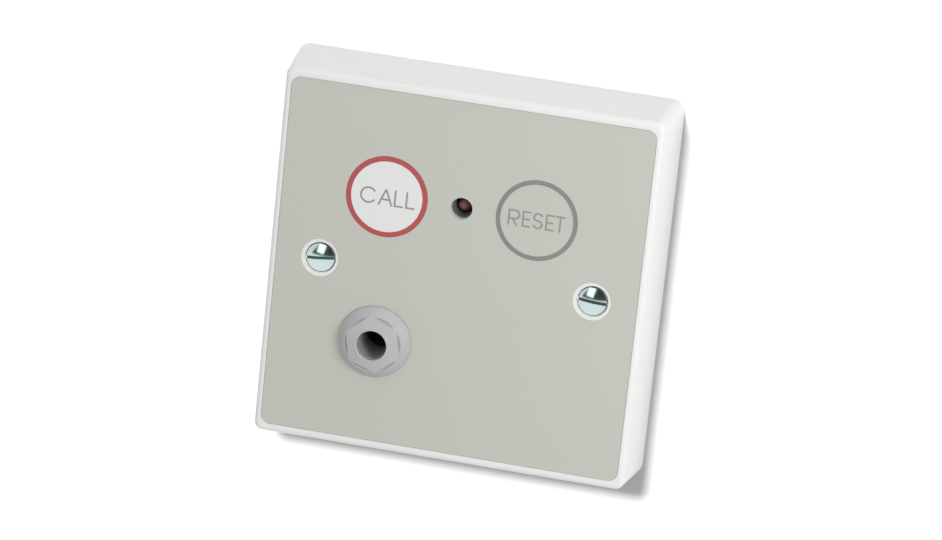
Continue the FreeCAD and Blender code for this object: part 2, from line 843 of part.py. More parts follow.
parts = {
    "front_plate": front_plate(),
    "overlay_film": overlay_film(),
    "call_disc_print": disc_print(call_x, call_ring_radius - call_ring_width),
    "call_ring_print": ring_print(call_x, call_ring_radius, call_ring_width),
    "reset_ring_print": ring_print(reset_x, reset_ring_radius, reset_ring_width),
    "circuit_board": circuit_board(),
    "indicator_lens": indicator_lens(),
    "indicator_leads": indicator_leads(),
    "indicator_spacer": indicator_spacer(),
    "wall_screws": wall_screws(),
    "board_screws": board_screws(),
    "jack_body": jack_body(),
    "jack_back_cover": jack_back_cover(),
    "jack_nut": jack_nut(),
    "jack_tip_contact": jack_tip_contact(),
    "jack_ring_contact": jack_ring_contact(),
    "jack_sleeve_contact": jack_sleeve_contact(),
    "terminal_housing": terminal_housing(),
    "terminal_clamps": terminal_clamps(),
    "terminal_screws": terminal_screws(),
    "terminal_pins": terminal_pins(),
    "control_chip": control_chip(),
    "control_chip_legs": control_chip_legs(),
    "board_resistors": board_resistors(),
    "board_capacitors": board_capacitors(),
    "smoothing_capacitor": smoothing_capacitor(),
    "capacitor_leads": capacitor_leads(),
}
for name, centre in (("call", call_x), ("reset", reset_x)):
    parts[name + "_pusher"] = pusher(centre)
    parts[name + "_switch_base"] = switch_base(centre)
    parts[name + "_switch_cover"] = switch_cover(centre)
    parts[name + "_switch_dome"] = switch_dome(centre)
    parts[name + "_switch_plunger"] = switch_plunger(centre)
    parts[name + "_switch_leads"] = switch_leads(centre)

os.makedirs("parts", exist_ok=True)
for name, shape in parts.items():
    shape.exportStep("parts/" + name + ".step")
    print(name, len(shape.Solids), "valid" if shape.isValid() else "NOT VALID", round(shape.Volume, 3))
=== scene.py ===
"""Looks of a nurse call point for a single wall box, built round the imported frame.

The frame gives every piece its place and size. This script gives the pieces their finish, adds what the
frame leaves plain, such as print, threads, solder and tracks, and sets up the studio. Sizes are in metres.
"""

import logging
import math
from contextlib import contextmanager
from dataclasses import dataclass
from enum import Enum
from typing import Iterator, Optional, Sequence

import bpy
from mathutils import Matrix, Vector


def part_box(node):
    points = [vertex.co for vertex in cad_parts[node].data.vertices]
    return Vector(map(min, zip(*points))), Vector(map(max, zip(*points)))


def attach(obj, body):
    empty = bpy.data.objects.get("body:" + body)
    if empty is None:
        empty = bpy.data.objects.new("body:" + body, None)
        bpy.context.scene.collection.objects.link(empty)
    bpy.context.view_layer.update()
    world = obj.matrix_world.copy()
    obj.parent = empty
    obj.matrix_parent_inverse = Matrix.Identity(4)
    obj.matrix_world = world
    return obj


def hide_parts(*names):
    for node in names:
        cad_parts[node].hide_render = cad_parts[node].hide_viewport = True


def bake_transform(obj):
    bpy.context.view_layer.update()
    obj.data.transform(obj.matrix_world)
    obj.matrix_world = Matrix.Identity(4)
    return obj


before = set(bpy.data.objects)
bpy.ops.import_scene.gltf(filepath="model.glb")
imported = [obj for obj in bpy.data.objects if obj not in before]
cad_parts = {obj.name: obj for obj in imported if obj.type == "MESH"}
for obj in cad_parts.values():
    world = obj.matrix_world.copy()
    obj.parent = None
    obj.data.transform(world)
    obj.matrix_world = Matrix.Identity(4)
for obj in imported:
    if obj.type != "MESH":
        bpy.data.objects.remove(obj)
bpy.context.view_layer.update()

log = logging.getLogger("call_point")

MM = 0.001
FULL_TURN = 2 * math.pi
ALONG_DEPTH = (-math.pi / 2, 0.0, 0.0)
FACING_ROOM = (math.pi / 2, 0.0, 0.0)
WELD = 0.0005 * MM
# Between the two wall screws, and from the film up to the two press areas.
SCREW_SPACING = 60.3 * MM
EMBOSS = 0.10 * MM
# Degrees of one flat side of a round stroke, and the fewest sides that a stroke has.
ARC_STEP = 6.0
ARC_SIDES = 6
WHITE = "#FFFFFF"
Point = tuple[float, float]
Piece = bpy.types.Object


def select_only(*pieces: Piece) -> None:
    """Selects these objects alone and makes the first one active.

    Args:
        pieces: the objects to select.
    """
    bpy.ops.object.select_all(action="DESELECT")
    for piece in pieces:
        piece.select_set(True)
    bpy.context.view_layer.objects.active = pieces[0]


@contextmanager
def editing(piece: Piece) -> Iterator[None]:
    """Opens an object in edit mode with its whole mesh selected.

    Args:
        piece: the object to edit.

    Returns:
        The stretch of work in edit mode, for a with statement.
    """
    select_only(piece)
    bpy.ops.object.mode_set(mode="EDIT")
    bpy.ops.mesh.select_all(action="SELECT")
    yield
    bpy.ops.object.mode_set(mode="OBJECT")


def close_mesh() -> None:
    """Welds the whole mesh in edit mode and turns its faces outwards."""
    bpy.ops.mesh.select_all(action="SELECT")
    bpy.ops.mesh.remove_doubles(threshold=WELD)
    bpy.ops.mesh.normals_make_consistent(inside=False)


def cut_off(piece: Piece, place: Sequence[float], outwards: Sequence[float]) -> None:
    """Cuts off what lies beyond a plane through a place, on its outward side, and closes the cut."""
    with editing(piece):
        bpy.ops.mesh.bisect(plane_co=place, plane_no=outwards, use_fill=True, clear_outer=True)


def placed(name: str, data: bpy.types.ID) -> Piece:
    """Puts a new object with this data into the scene.

    Args:
        name: the object's name.
        data: its mesh, light or camera.

    Returns:
        The new object.
    """
    piece = bpy.data.objects.new(name, data)
    bpy.context.scene.collection.objects.link(piece)
    return piece


def piece_from(name: str, points: Sequence[Sequence[float]], edges: Sequence[tuple[int, int]] = (),
               faces: Sequence[Sequence[int]] = ()) -> Piece:
    """Makes an object from points and what joins them.

    Args:
        name: the piece's name.
        points: the points.
        edges: pairs of points, by their numbers.
        faces: rounds of points, by their numbers.

    Returns:
        The new object.
    """
    mesh = bpy.data.meshes.new(name)
    mesh.from_pydata(points, edges, faces)
    return placed(name, mesh)


def settle(piece: Piece, name: str) -> Piece:
    """Names a piece and moves its place, turn and scale into its mesh.

    Args:
        piece: the object.
        name: the name it gets.

    Returns:
        The same object.
    """
    select_only(piece)
    bpy.ops.object.transform_apply(location=True, rotation=True, scale=True)
    piece.name = piece.data.name = name
    return piece


def apply_modifier(piece: Piece, kind: str, **settings: object) -> Piece:
    """Adds one modifier to a piece and applies it.

    Args:
        piece: the object.
        kind: Blender's name of the modifier's type.
        settings: the modifier's own settings.

    Returns:
        The same object.
    """
    select_only(piece)
    modifier = piece.modifiers.new(kind, kind)
    for setting, value in settings.items():
        setattr(modifier, setting, value)
    bpy.ops.object.modifier_apply(modifier=modifier.name)
    return piece


def smooth(piece: Piece, degrees: float = 35.0) -> Piece:
    """Shades a piece smooth, apart from edges sharper than an angle.

    Args:
        piece: the object.
        degrees: the angle above which an edge stays sharp.

    Returns:
        The same object.
    """
    select_only(piece)
    bpy.ops.object.shade_smooth_by_angle(angle=math.radians(degrees))
    return piece


def round_edges(piece: Piece, width: float, segments: int = 3, degrees: float = 30.0) -> Piece:
    """Rounds every edge sharper than an angle and keeps the flat faces flat to the eye.

    Args:
        piece: the object.
        width: how far the rounding reaches from each edge.
        segments: faces across the rounding.
        degrees: the angle above which an edge is rounded.

    Returns:
        The same object.
    """
    apply_modifier(piece, "BEVEL", width=width, segments=segments, limit_method="ANGLE",
                   angle_limit=math.radians(degrees), use_clamp_overlap=True)
    smooth(piece, 40.0)
    return apply_modifier(piece, "WEIGHTED_NORMAL", keep_sharp=True, weight=90)


def bar(name: str, x: float, z: float, radius: float, front: float, back: float,
        back_radius: Optional[float] = None, sides: int = 64) -> Piece:
    """Makes a round bar or cone along the depth.

    Args:
        name: the piece's name.
        x: the axis's place to the right.
        z: the axis's height.
        radius: the radius at the front plane.
        front: the depth of the front plane.
        back: the depth of the back plane.
        back_radius: the radius at the back plane, if it isn't the same.
        sides: how many flat sides stand for the round.

    Returns:
        The new object.
    """
    bpy.ops.mesh.primitive_cone_add(vertices=sides, radius1=radius, depth=back - front,
                                    radius2=radius if back_radius is None else back_radius,
                                    rotation=ALONG_DEPTH, location=(x, (front + back) / 2, z))
    return settle(bpy.context.object, name)


def block(name: str, x: float, z: float, width: float, height: float, front: float, back: float,
          turn: float = 0.0) -> Piece:
    """Makes a square-edged block about a centre.

    Args:
        name: the piece's name.
        x: the centre's place to the right.
        z: the centre's height.
        width: the size across.
        height: the size upwards.
        front: the depth of the front plane.
        back: the depth of the back plane.
        turn: how far it is turned, anticlockwise seen from the room, in radians.

    Returns:
        The new object.
    """
    bpy.ops.mesh.primitive_cube_add(size=1.0, location=(x, (front + back) / 2, z),
                                    rotation=(0.0, -turn, 0.0), scale=(width, back - front, height))
    return settle(bpy.context.object, name)


def turned(name: str, x: float, z: float, profile: Sequence[Point], sides: int = 96) -> Piece:
    """Spins a profile round a line along the depth.

    Args:
        name: the piece's name.
        x: the axis's place to the right.
        z: the axis's height.
        profile: points of radius and depth. It is closed, or starts and ends on the axis.
        sides: how many steps the full turn has.

    Returns:
        The new object, closed and with its faces outwards.
    """
    last = len(profile) - 1
    edges = [(i, i + 1) for i in range(last)]
    if profile[0][0] > 0:
        edges.append((last, 0))
    piece = piece_from(name, [(x + radius, depth, z) for radius, depth in profile], edges)
    with editing(piece):
        bpy.ops.mesh.spin(steps=sides, angle=FULL_TURN, center=(x, 0.0, z), axis=(0.0, 1.0, 0.0))
        close_mesh()
    return piece


def combine(piece: Piece, operation: str, *tools: Piece) -> Piece:
    """Cuts, joins or keeps the common part of closed solids, and removes the tools.

    Args:
        piece: the object that stays.
        operation: DIFFERENCE, UNION or INTERSECT.
        tools: the objects that it is combined with.

    Returns:
        The first object.
    """
    for tool in tools:
        apply_modifier(piece, "BOOLEAN", operation=operation, object=tool, solver="EXACT")
        bpy.data.objects.remove(tool)
    return piece


def joined(name: str, pieces: Sequence[Piece]) -> Piece:
    """Puts several objects into one, each with its own closed mesh.

    Args:
        name: the joined piece's name.
        pieces: the objects.

    Returns:
        The joined object.
    """
    select_only(*pieces)
    if len(pieces) > 1:
        bpy.ops.object.join()
    pieces[0].name = pieces[0].data.name = name
    return pieces[0]


def copied(piece: Piece, name: str, x: float = 0.0, y: float = 0.0, z: float = 0.0) -> Piece:
    """Copies a piece, with a mesh of its own, to another place.

    Args:
        piece: the object to copy.
        name: the copy's name.
        x: how far the copy lies to the right.
        y: how far it lies deeper.
        z: how far it lies higher.

    Returns:
        The copy.
    """
    twin = placed(name, piece.data.copy())
    twin.location = (x, y, z)
    return settle(twin, name)


def copy_of_node(node: str, name: str) -> Piece:
    """Copies a CAD node's mesh and welds its loose triangles into clean faces.

    Args:
        node: the node's name.
        name: the copy's name.

    Returns:
        The new object.
    """
    piece = copied(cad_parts[node], name)
    with editing(piece):
        bpy.ops.mesh.customdata_custom_splitnormals_clear()
        bpy.ops.mesh.remove_doubles(threshold=WELD)
        bpy.ops.mesh.dissolve_limited(angle_limit=math.radians(1.0))
    return piece


def middle(node: str) -> Vector:
    """Gives the centre of a CAD node's box."""
    low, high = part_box(node)
    return (low + high) / 2


def linear(code: str) -> tuple[float, float, float, float]:
    """Turns an sRGB hex colour to the linear red, green and blue that the shader uses, with full opacity."""
    levels = [int(code[i:i + 2], 16) / 255 for i in (1, 3, 5)]
    return (*[v / 12.92 if v <= 0.04045 else ((v + 0.055) / 1.055) ** 2.4 for v in levels], 1.0)


def shade(code: str, factor: float) -> tuple[float, float, float, float]:
    """Gives a colour made lighter or darker by a factor."""
    return (*[min(1.0, v * factor) for v in linear(code)[:3]], 1.0)


def add(tree: bpy.types.NodeTree, kind: str, inputs: Optional[dict] = None,
        **settings: object) -> bpy.types.Node:
    """Adds a node with its settings, values and links.

    Args:
        tree: the material's node tree.
        kind: the node's type.
        inputs: a value or a source socket for each input, by its name or number.
        settings: the node's own settings.

    Returns:
        The new node.
    """
    node = tree.nodes.new(kind)
    for setting, value in settings.items():
        setattr(node, setting, value)
    for socket, value in (inputs or {}).items():
        if isinstance(value, bpy.types.NodeSocket):
            tree.links.new(value, node.inputs[socket])
        else:
            node.inputs[socket].default_value = value
    return node


def blank_tree(owner: bpy.types.ID) -> bpy.types.NodeTree:
    """Turns on the nodes of a material or a world and empties them.

    Args:
        owner: the material or the world.

    Returns:
        Its node tree.
    """
    owner.use_nodes = True
    owner.node_tree.nodes.clear()
    return owner.node_tree


def seen_directly(tree: bpy.types.NodeTree) -> bpy.types.NodeSocket:
    """Tells what is seen, in gloss and through glass too, from what only lights other things.

    Args:
        tree: a material's or the world's node tree.

    Returns:
        The socket that carries 1 where it is seen and 0 where it lights other things.
    """
    path = add(tree, "ShaderNodeLightPath").outputs
    seen = add(tree, "ShaderNodeMath", {0: path["Is Camera Ray"], 1: path["Is Glossy Ray"]},
               operation="MAXIMUM")
    return add(tree, "ShaderNodeMath", {0: seen.outputs[0], 1: path["Is Transmission Ray"]},
               operation="MAXIMUM").outputs[0]


def direction(azimuth: float, elevation: float) -> Vector:
    """Gives the way out from the object, by degrees to the right of its front and above the horizon."""
    a, e = math.radians(azimuth), math.radians(elevation)
    return Vector((math.sin(a) * math.cos(e), -math.cos(a) * math.cos(e), math.sin(e)))


class Grain(Enum):
    """How a surface was made, which gives the pattern of its fine relief."""

    SPARKED = "fine pits of a spark-eroded mould"
    PEEL = "soft waves of a polished mould"
    ROLLED = "short streaks along the width, left by rolling or drawing"
    WOVEN = "glass cloth under lacquer"


@dataclass(frozen=True)
class Finish:
    """A finish: what a surface is made of and how it was made.

    The grain is the fine relief and the mottle is the slow change of colour. Both have real sizes.
    A streak is the share of its length to which rolled metal's relief is squeezed across.
    """

    name: str
    colour: str
    roughness: float
    grain: Grain = Grain.SPARKED
    grain_size: float = 0.25 * MM
    grain_depth: float = 0.003 * MM
    mottle: float = 0.02
    mottle_size: float = 5.0 * MM
    gloss_change: float = 0.05
    metallic: float = 0.0
    ior: float = 1.5
    coat: float = 0.0
    coat_roughness: float = 0.1
    transmission: float = 0.0
    subsurface: float = 0.0
    subsurface_reach: float = 1.0 * MM
    streak: float = 0.06
    relief_detail: float = 3.0
    mottle_detail: float = 4.0

    def relief(self, tree: bpy.types.NodeTree, place: bpy.types.NodeSocket) -> bpy.types.NodeSocket:
        """Builds the height of the fine relief.

        Args:
            tree: the material's node tree.
            place: the object coordinates.

        Returns:
            The socket that carries the height, from 0 to 1.
        """
        if self.grain is Grain.WOVEN:
            threads = [add(tree, "ShaderNodeTexWave", {"Vector": place, "Scale": 0.5 / self.grain_size},
                           wave_type="BANDS", bands_direction=axis).outputs["Fac"] for axis in "XZ"]
            return add(tree, "ShaderNodeMath", {0: threads[0], 1: threads[1]},
                       operation="MULTIPLY").outputs[0]
        along = self.streak if self.grain is Grain.ROLLED else 1.0
        spread = add(tree, "ShaderNodeMapping", {"Vector": place, "Scale": (along, 1.0, 1.0)})
        detail = 0.0 if self.grain is Grain.PEEL else self.relief_detail
        return add(tree, "ShaderNodeTexNoise", {
            "Vector": spread.outputs[0], "Scale": 1 / self.grain_size, "Detail": detail}).outputs["Fac"]

    def paint(self, tree: bpy.types.NodeTree, place: bpy.types.NodeSocket) -> bpy.types.NodeSocket:
        """Builds the base colour with its slow mottle.

        Args:
            tree: the material's node tree.
            place: the object coordinates.

        Returns:
            The socket that carries the colour.
        """
        clouds = add(tree, "ShaderNodeTexNoise", {
            "Vector": place, "Scale": 1 / self.mottle_size, "Detail": self.mottle_detail})
        return add(tree, "ShaderNodeMix", {
            0: clouds.outputs["Fac"], 6: shade(self.colour, 1 - self.mottle),
            7: shade(self.colour, 1 + self.mottle)}, data_type="RGBA").outputs[2]

    def material(self) -> bpy.types.Material:
        """Makes the material once and gives the same one afterwards.

        Returns:
            The material.
        """
        made = bpy.data.materials.get(self.name)
        if made:
            return made
        made = bpy.data.materials.new(self.name)
        tree = blank_tree(made)
        place = add(tree, "ShaderNodeTexCoord").outputs["Object"]
        height = self.relief(tree, place)
        gloss = add(tree, "ShaderNodeMapRange", {
            "Value": height, "To Min": self.roughness - self.gloss_change / 2,
            "To Max": self.roughness + self.gloss_change / 2})
        bump = add(tree, "ShaderNodeBump", {"Height": height, "Strength": 1.0, "Distance": self.grain_depth})
        surface = add(tree, "ShaderNodeBsdfPrincipled", {
            "Base Color": self.paint(tree, place), "Roughness": gloss.outputs[0],
            "Normal": bump.outputs[0], "Metallic": self.metallic, "IOR": self.ior, "Coat Weight": self.coat,
            "Coat Roughness": self.coat_roughness, "Transmission Weight": self.transmission,
            "Subsurface Weight": self.subsurface, "Subsurface Scale": self.subsurface_reach})
        add(tree, "ShaderNodeOutputMaterial", {"Surface": surface.outputs[0]})
        return made


# Urea moulding from a polished mould: a clean white with soft, slightly wavy reflections.
PLATE_UREA = Finish("plate_urea_moulding", "#E4E4E3", 0.30, Grain.PEEL, 1.6 * MM, 0.004 * MM, 0.008, 9 * MM,
                    0.04, ior=1.6)
# Polyester film printed on its back, with a velvet front: an even grey-green with a dull sheen.
FILM_POLYESTER = Finish("overlay_velvet_film", "#BDBEB5", 0.46, grain_size=0.22 * MM, grain_depth=0.0025 * MM,
                        mottle=0.012, mottle_size=14 * MM, gloss_change=0.10, ior=1.57)
# The same film over white ink.
WHITE_PRINT = Finish("white_print_under_film", "#DFDFDE", 0.44, grain_size=0.22 * MM, grain_depth=0.0025 * MM,
                     mottle=0.010, mottle_size=6 * MM, gloss_change=0.10, ior=1.57)
# Red ink, a little uneven where the mesh of the screen laid it.
RED_PRINT = Finish("red_screen_ink", "#AC4648", 0.42, grain_size=0.22 * MM, grain_depth=0.0025 * MM,
                   mottle=0.06, mottle_size=0.7 * MM, gloss_change=0.10, ior=1.57)
# Grey ink, for the second ring.
GREY_PRINT = Finish("grey_screen_ink", "#81827F", 0.42, grain_size=0.22 * MM, grain_depth=0.0025 * MM,
                    mottle=0.05, mottle_size=0.7 * MM, gloss_change=0.10, ior=1.57)
# The thin grey ink of the two words.
LEGEND_PRINT = Finish("legend_screen_ink", "#8E8F8C", 0.42, grain_size=0.22 * MM, grain_depth=0.002 * MM,
                      mottle=0.05, mottle_size=0.5 * MM, gloss_change=0.10, ior=1.57)
# Natural acetal: a waxy white that lets a little light in.
PUSHER_ACETAL = Finish("natural_acetal", "#E4E3DC", 0.38, grain_size=0.3 * MM, grain_depth=0.002 * MM,
                       subsurface=0.1)
# Grey nylon moulding: satin, with soft edges.
NUT_NYLON = Finish("grey_nylon_moulding", "#B2B2B3", 0.40, Grain.PEEL, 0.8 * MM, 0.004 * MM, 0.02, 3 * MM,
                   0.08, ior=1.53)
# Glass-filled grey nylon of the socket: a duller grey than the nut, with a fine fleck.
SOCKET_NYLON = Finish("grey_glass_filled_nylon", "#A3A3A5", 0.48, grain_size=0.18 * MM,
                      grain_depth=0.004 * MM, mottle=0.05, mottle_size=0.5 * MM, ior=1.53)
# Tin plate over spring bronze.
CONTACT_TIN = Finish("tin_plated_spring", "#CBC7BE", 0.28, Grain.ROLLED, 0.10 * MM, 0.001 * MM, 0.05,
                     1.5 * MM, 0.12, metallic=1.0)
# Stainless strip, pressed.
SWITCH_STEEL = Finish("pressed_stainless_strip", "#C9C9C6", 0.30, Grain.ROLLED, 0.06 * MM, 0.001 * MM, 0.03,
                      2 * MM, 0.12, metallic=1.0)
# Black nylon of the switches' bases and plungers, and of the lamp's spacer.
SWITCH_NYLON = Finish("black_nylon_moulding", "#1B1B1C", 0.48, grain_size=0.15 * MM, grain_depth=0.003 * MM)
# Cloudy red epoxy of the lamp, cast, which spreads the light that falls on it.
LAMP_RESIN = Finish("clear_red_epoxy", "#9A5C66", 0.32, Grain.PEEL, 0.8 * MM, 0.0005 * MM, 0.02, 1 * MM, 0.02,
                    ior=1.54, transmission=0.12, subsurface=0.5)
# Grey tube that keeps the lamp's light from the plate; its grey is partly the tube's own and partly painted
# shade of the deep hole.
SLEEVE_GREY_AND_SHADE = Finish("grey_sleeve_and_painted_shade", "#6C6D66", 0.60, grain_size=0.12 * MM, grain_depth=0.004 * MM)
# Bright zinc plate with a clear blue passivation.
BRIGHT_ZINC = Finish("bright_zinc_plate", "#C3D3D3", 0.13, Grain.ROLLED, 0.16 * MM, 0.0012 * MM, 0.03,
                     1.2 * MM, 0.08, metallic=1.0)
# The same zinc plate, darker and rougher: painted shade in the slot's floor and the thread's root, and on the
# head's edge and seat.
SHADE_PAINTED_ZINC = Finish("zinc_with_painted_shade", "#5C6D68", 0.42, Grain.ROLLED, 0.10 * MM, 0.002 * MM, 0.06,
                   0.8 * MM, 0.10, metallic=1.0)
# Green nylon of the terminals.
TERMINAL_NYLON = Finish("green_nylon_moulding", "#2E7A4C", 0.36, grain_size=0.3 * MM, grain_depth=0.003 * MM,
                        mottle=0.05)
# Nickel over brass, a warm grey.
CLAMP_NICKEL = Finish("nickel_plated_brass", "#C9B88C", 0.30, Grain.ROLLED, 0.10 * MM, 0.001 * MM, 0.05,
                      1 * MM, 0.10, metallic=1.0)
# Moulded epoxy of the chip, with its dull pitted top.
CHIP_EPOXY = Finish("moulded_black_epoxy", "#1D1E20", 0.55, grain_size=0.12 * MM, grain_depth=0.004 * MM)
# Glaze over the resistor film.
RESISTOR_GLAZE = Finish("black_resistor_glaze", "#141416", 0.22, Grain.PEEL, 0.3 * MM, 0.003 * MM)
# Fired ceramic.
FIRED_CERAMIC = Finish("fired_ceramic", "#A8865B", 0.50, grain_size=0.10 * MM, grain_depth=0.002 * MM,
                       mottle=0.06, mottle_size=0.5 * MM)
# Shrunk sleeve over the capacitor's can.
CAN_SLEEVE = Finish("shrunk_blue_sleeve", "#1D2A4A", 0.26, Grain.PEEL, 0.9 * MM, 0.004 * MM, 0.04, 2 * MM)
# The stripe printed down the sleeve.
SLEEVE_STRIPE = Finish("sleeve_stripe_ink", "#AEB4BE", 0.30, Grain.PEEL, 0.9 * MM, 0.003 * MM)
# Drawn aluminium of the can's end.
CAN_ALUMINIUM = Finish("drawn_aluminium", "#D2D3D4", 0.26, Grain.ROLLED, 0.08 * MM, 0.001 * MM, 0.03, 1 * MM,
                       0.10, metallic=1.0)
# Solder, wetted and bright with a slight grain.
SOLDER = Finish("bright_solder", "#C8C9C8", 0.20, Grain.SPARKED, 0.12 * MM, 0.004 * MM, 0.05, 0.5 * MM, 0.14,
                metallic=1.0)
# Tinned ends of the small flat parts.
TINNED_END = Finish("tinned_end", "#BFC0BE", 0.32, Grain.SPARKED, 0.08 * MM, 0.003 * MM, 0.05, 0.5 * MM, 0.12,
                    metallic=1.0)
# White marking ink on the board.
MARKING_INK = Finish("white_marking_ink", "#E6E7E2", 0.50, grain_size=0.15 * MM, grain_depth=0.004 * MM,
                     mottle=0.05, mottle_size=0.6 * MM)
# Glass fibre laminate under green lacquer: the cloth shows as a fine square weave.
BOARD_LACQUER = Finish("green_lacquered_laminate", "#14563A", 0.30, Grain.WOVEN, 0.5 * MM, 0.006 * MM, 0.10,
                       8 * MM, 0.08, coat=0.5, coat_roughness=0.12)
# Copper under the same lacquer, lighter and smoother.
LACQUERED_COPPER = Finish("green_lacquer_over_copper", "#2A7C50", 0.24, Grain.PEEL, 0.7 * MM, 0.003 * MM,
                          0.05, 3 * MM, 0.06, coat=0.5, coat_roughness=0.10)
# The lamp's cup and posts, silver plated.
LAMP_FRAME = Finish("silver_plated_frame", "#D8D6D0", 0.22, Grain.SPARKED, 0.10 * MM, 0.001 * MM, 0.04,
                    0.5 * MM, 0.10, metallic=1.0)


def dress(piece: Piece, finish: Finish) -> Piece:
    """Gives a piece one finish all over.

    Args:
        piece: the object.
        finish: its finish.

    Returns:
        The same object.
    """
    piece.data.materials.clear()
    piece.data.materials.append(finish.material())
    return piece


def dress_node(node: str, finish: Finish) -> None:
    """Gives a CAD node that stays its finish.

    Args:
        node: the node's name.
        finish: its finish.
    """
    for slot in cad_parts[node].material_slots:
        slot.material = finish.material()
    log.info("%s keeps its own solid, in %s", node, finish.name)


def fit(piece: Piece, body: str, slot: str, finish: Finish, *nodes: str) -> Piece:
    """Dresses a finished piece and fixes it to its body.

    Args:
        piece: the object.
        body: the CAD body that it rides on.
        slot: the record's material slot, which is not used.
        finish: its finish.
        nodes: the CAD nodes that it stands for.

    Returns:
        The same object.
    """
    dress(piece, finish)
    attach(piece, body)
    if nodes:
        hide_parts(*nodes)
    log.info("%s rides on %s, %d faces", piece.name, body, len(piece.data.polygons))
    return piece


@dataclass(frozen=True)
class Line:
    """A straight stroke between two points of a flat drawing."""

    start: Point
    end: Point

    def solid(self, name: str, width: float, front: float, back: float) -> Piece:
        """Makes the stroke as a thin bar with square ends.

        Args:
            name: the piece's name.
            width: the stroke's width.
            front: the depth of its front face.
            back: the depth of its back face.

        Returns:
            The new object.
        """
        across = self.end[0] - self.start[0]
        up = self.end[1] - self.start[1]
        return block(name, (self.start[0] + self.end[0]) / 2, (self.start[1] + self.end[1]) / 2,
                     math.hypot(across, up), width, front, back, math.atan2(up, across))


@dataclass(frozen=True)
class Arc:
    """A round stroke about a centre, anticlockwise from one angle to another, in degrees."""

    centre: Point
    radius: float
    start: float
    end: float

    def solid(self, name: str, width: float, front: float, back: float) -> Piece:
        """Makes the stroke by spinning its square section.

        Args:
            name: the piece's name.
            width: the stroke's width.
            front: the depth of its front face.
            back: the depth of its back face.

        Returns:
            The new object.
        """
        sweep = self.end - self.start
        steps = max(ARC_SIDES, round(abs(sweep) / ARC_STEP))
        bpy.ops.mesh.primitive_plane_add(size=1.0)
        piece = bpy.context.object
        piece.scale = (width, back - front, 1.0)
        piece.location = (self.radius, (front + back) / 2, 0.0)
        settle(piece, name)
        centre = (self.centre[0], 0.0, self.centre[1])
        piece.data.transform(Matrix.Translation(centre) @ Matrix.Rotation(-math.radians(self.start), 4, "Y"))
        with editing(piece):
            bpy.ops.mesh.spin(steps=steps, angle=math.radians(sweep), center=centre, axis=(0.0, 1.0, 0.0))
            close_mesh()
        return piece


def drawing(name: str, strokes: Sequence[Line | Arc], width: float, front: float, back: float) -> Piece:
    """Makes one thin solid of several strokes that meet, of one width and between two depths."""
    solids = [stroke.solid(f"{name}_{i}", width, front, back) for i, stroke in enumerate(strokes)]
    return settle(combine(solids[0], "UNION", *solids[1:]), name)


@dataclass
class FrontPlate:
    """The white moulding: its outer form is the CAD solid's, with the round edges that a mould leaves."""

    edge_radius: float = 0.14 * MM
    pin_mark_radius: float = 1.6 * MM
    pin_mark_depth: float = 0.12 * MM
    web_depth: float = -13.5 * MM
    pin_mark_places: tuple[Point, ...] = (
        (-34, 34), (0, 35), (34, 34), (-34, -34), (12, -34), (34, -34), (8, -6))

    def build(self) -> None:
        """Makes the plate with rounded edges and the shallow marks of the ejector pins inside."""
        plate = copy_of_node("front_plate", "plate_moulding")
        floor = self.web_depth - self.pin_mark_depth
        marks = [bar("pin_mark", x * MM, z * MM, self.pin_mark_radius, floor, self.web_depth + MM, sides=32)
                 for x, z in self.pin_mark_places]
        combine(plate, "DIFFERENCE", *marks)
        round_edges(plate, self.edge_radius)
        fit(plate, "plate", "plate_white", PLATE_UREA, "front_plate")


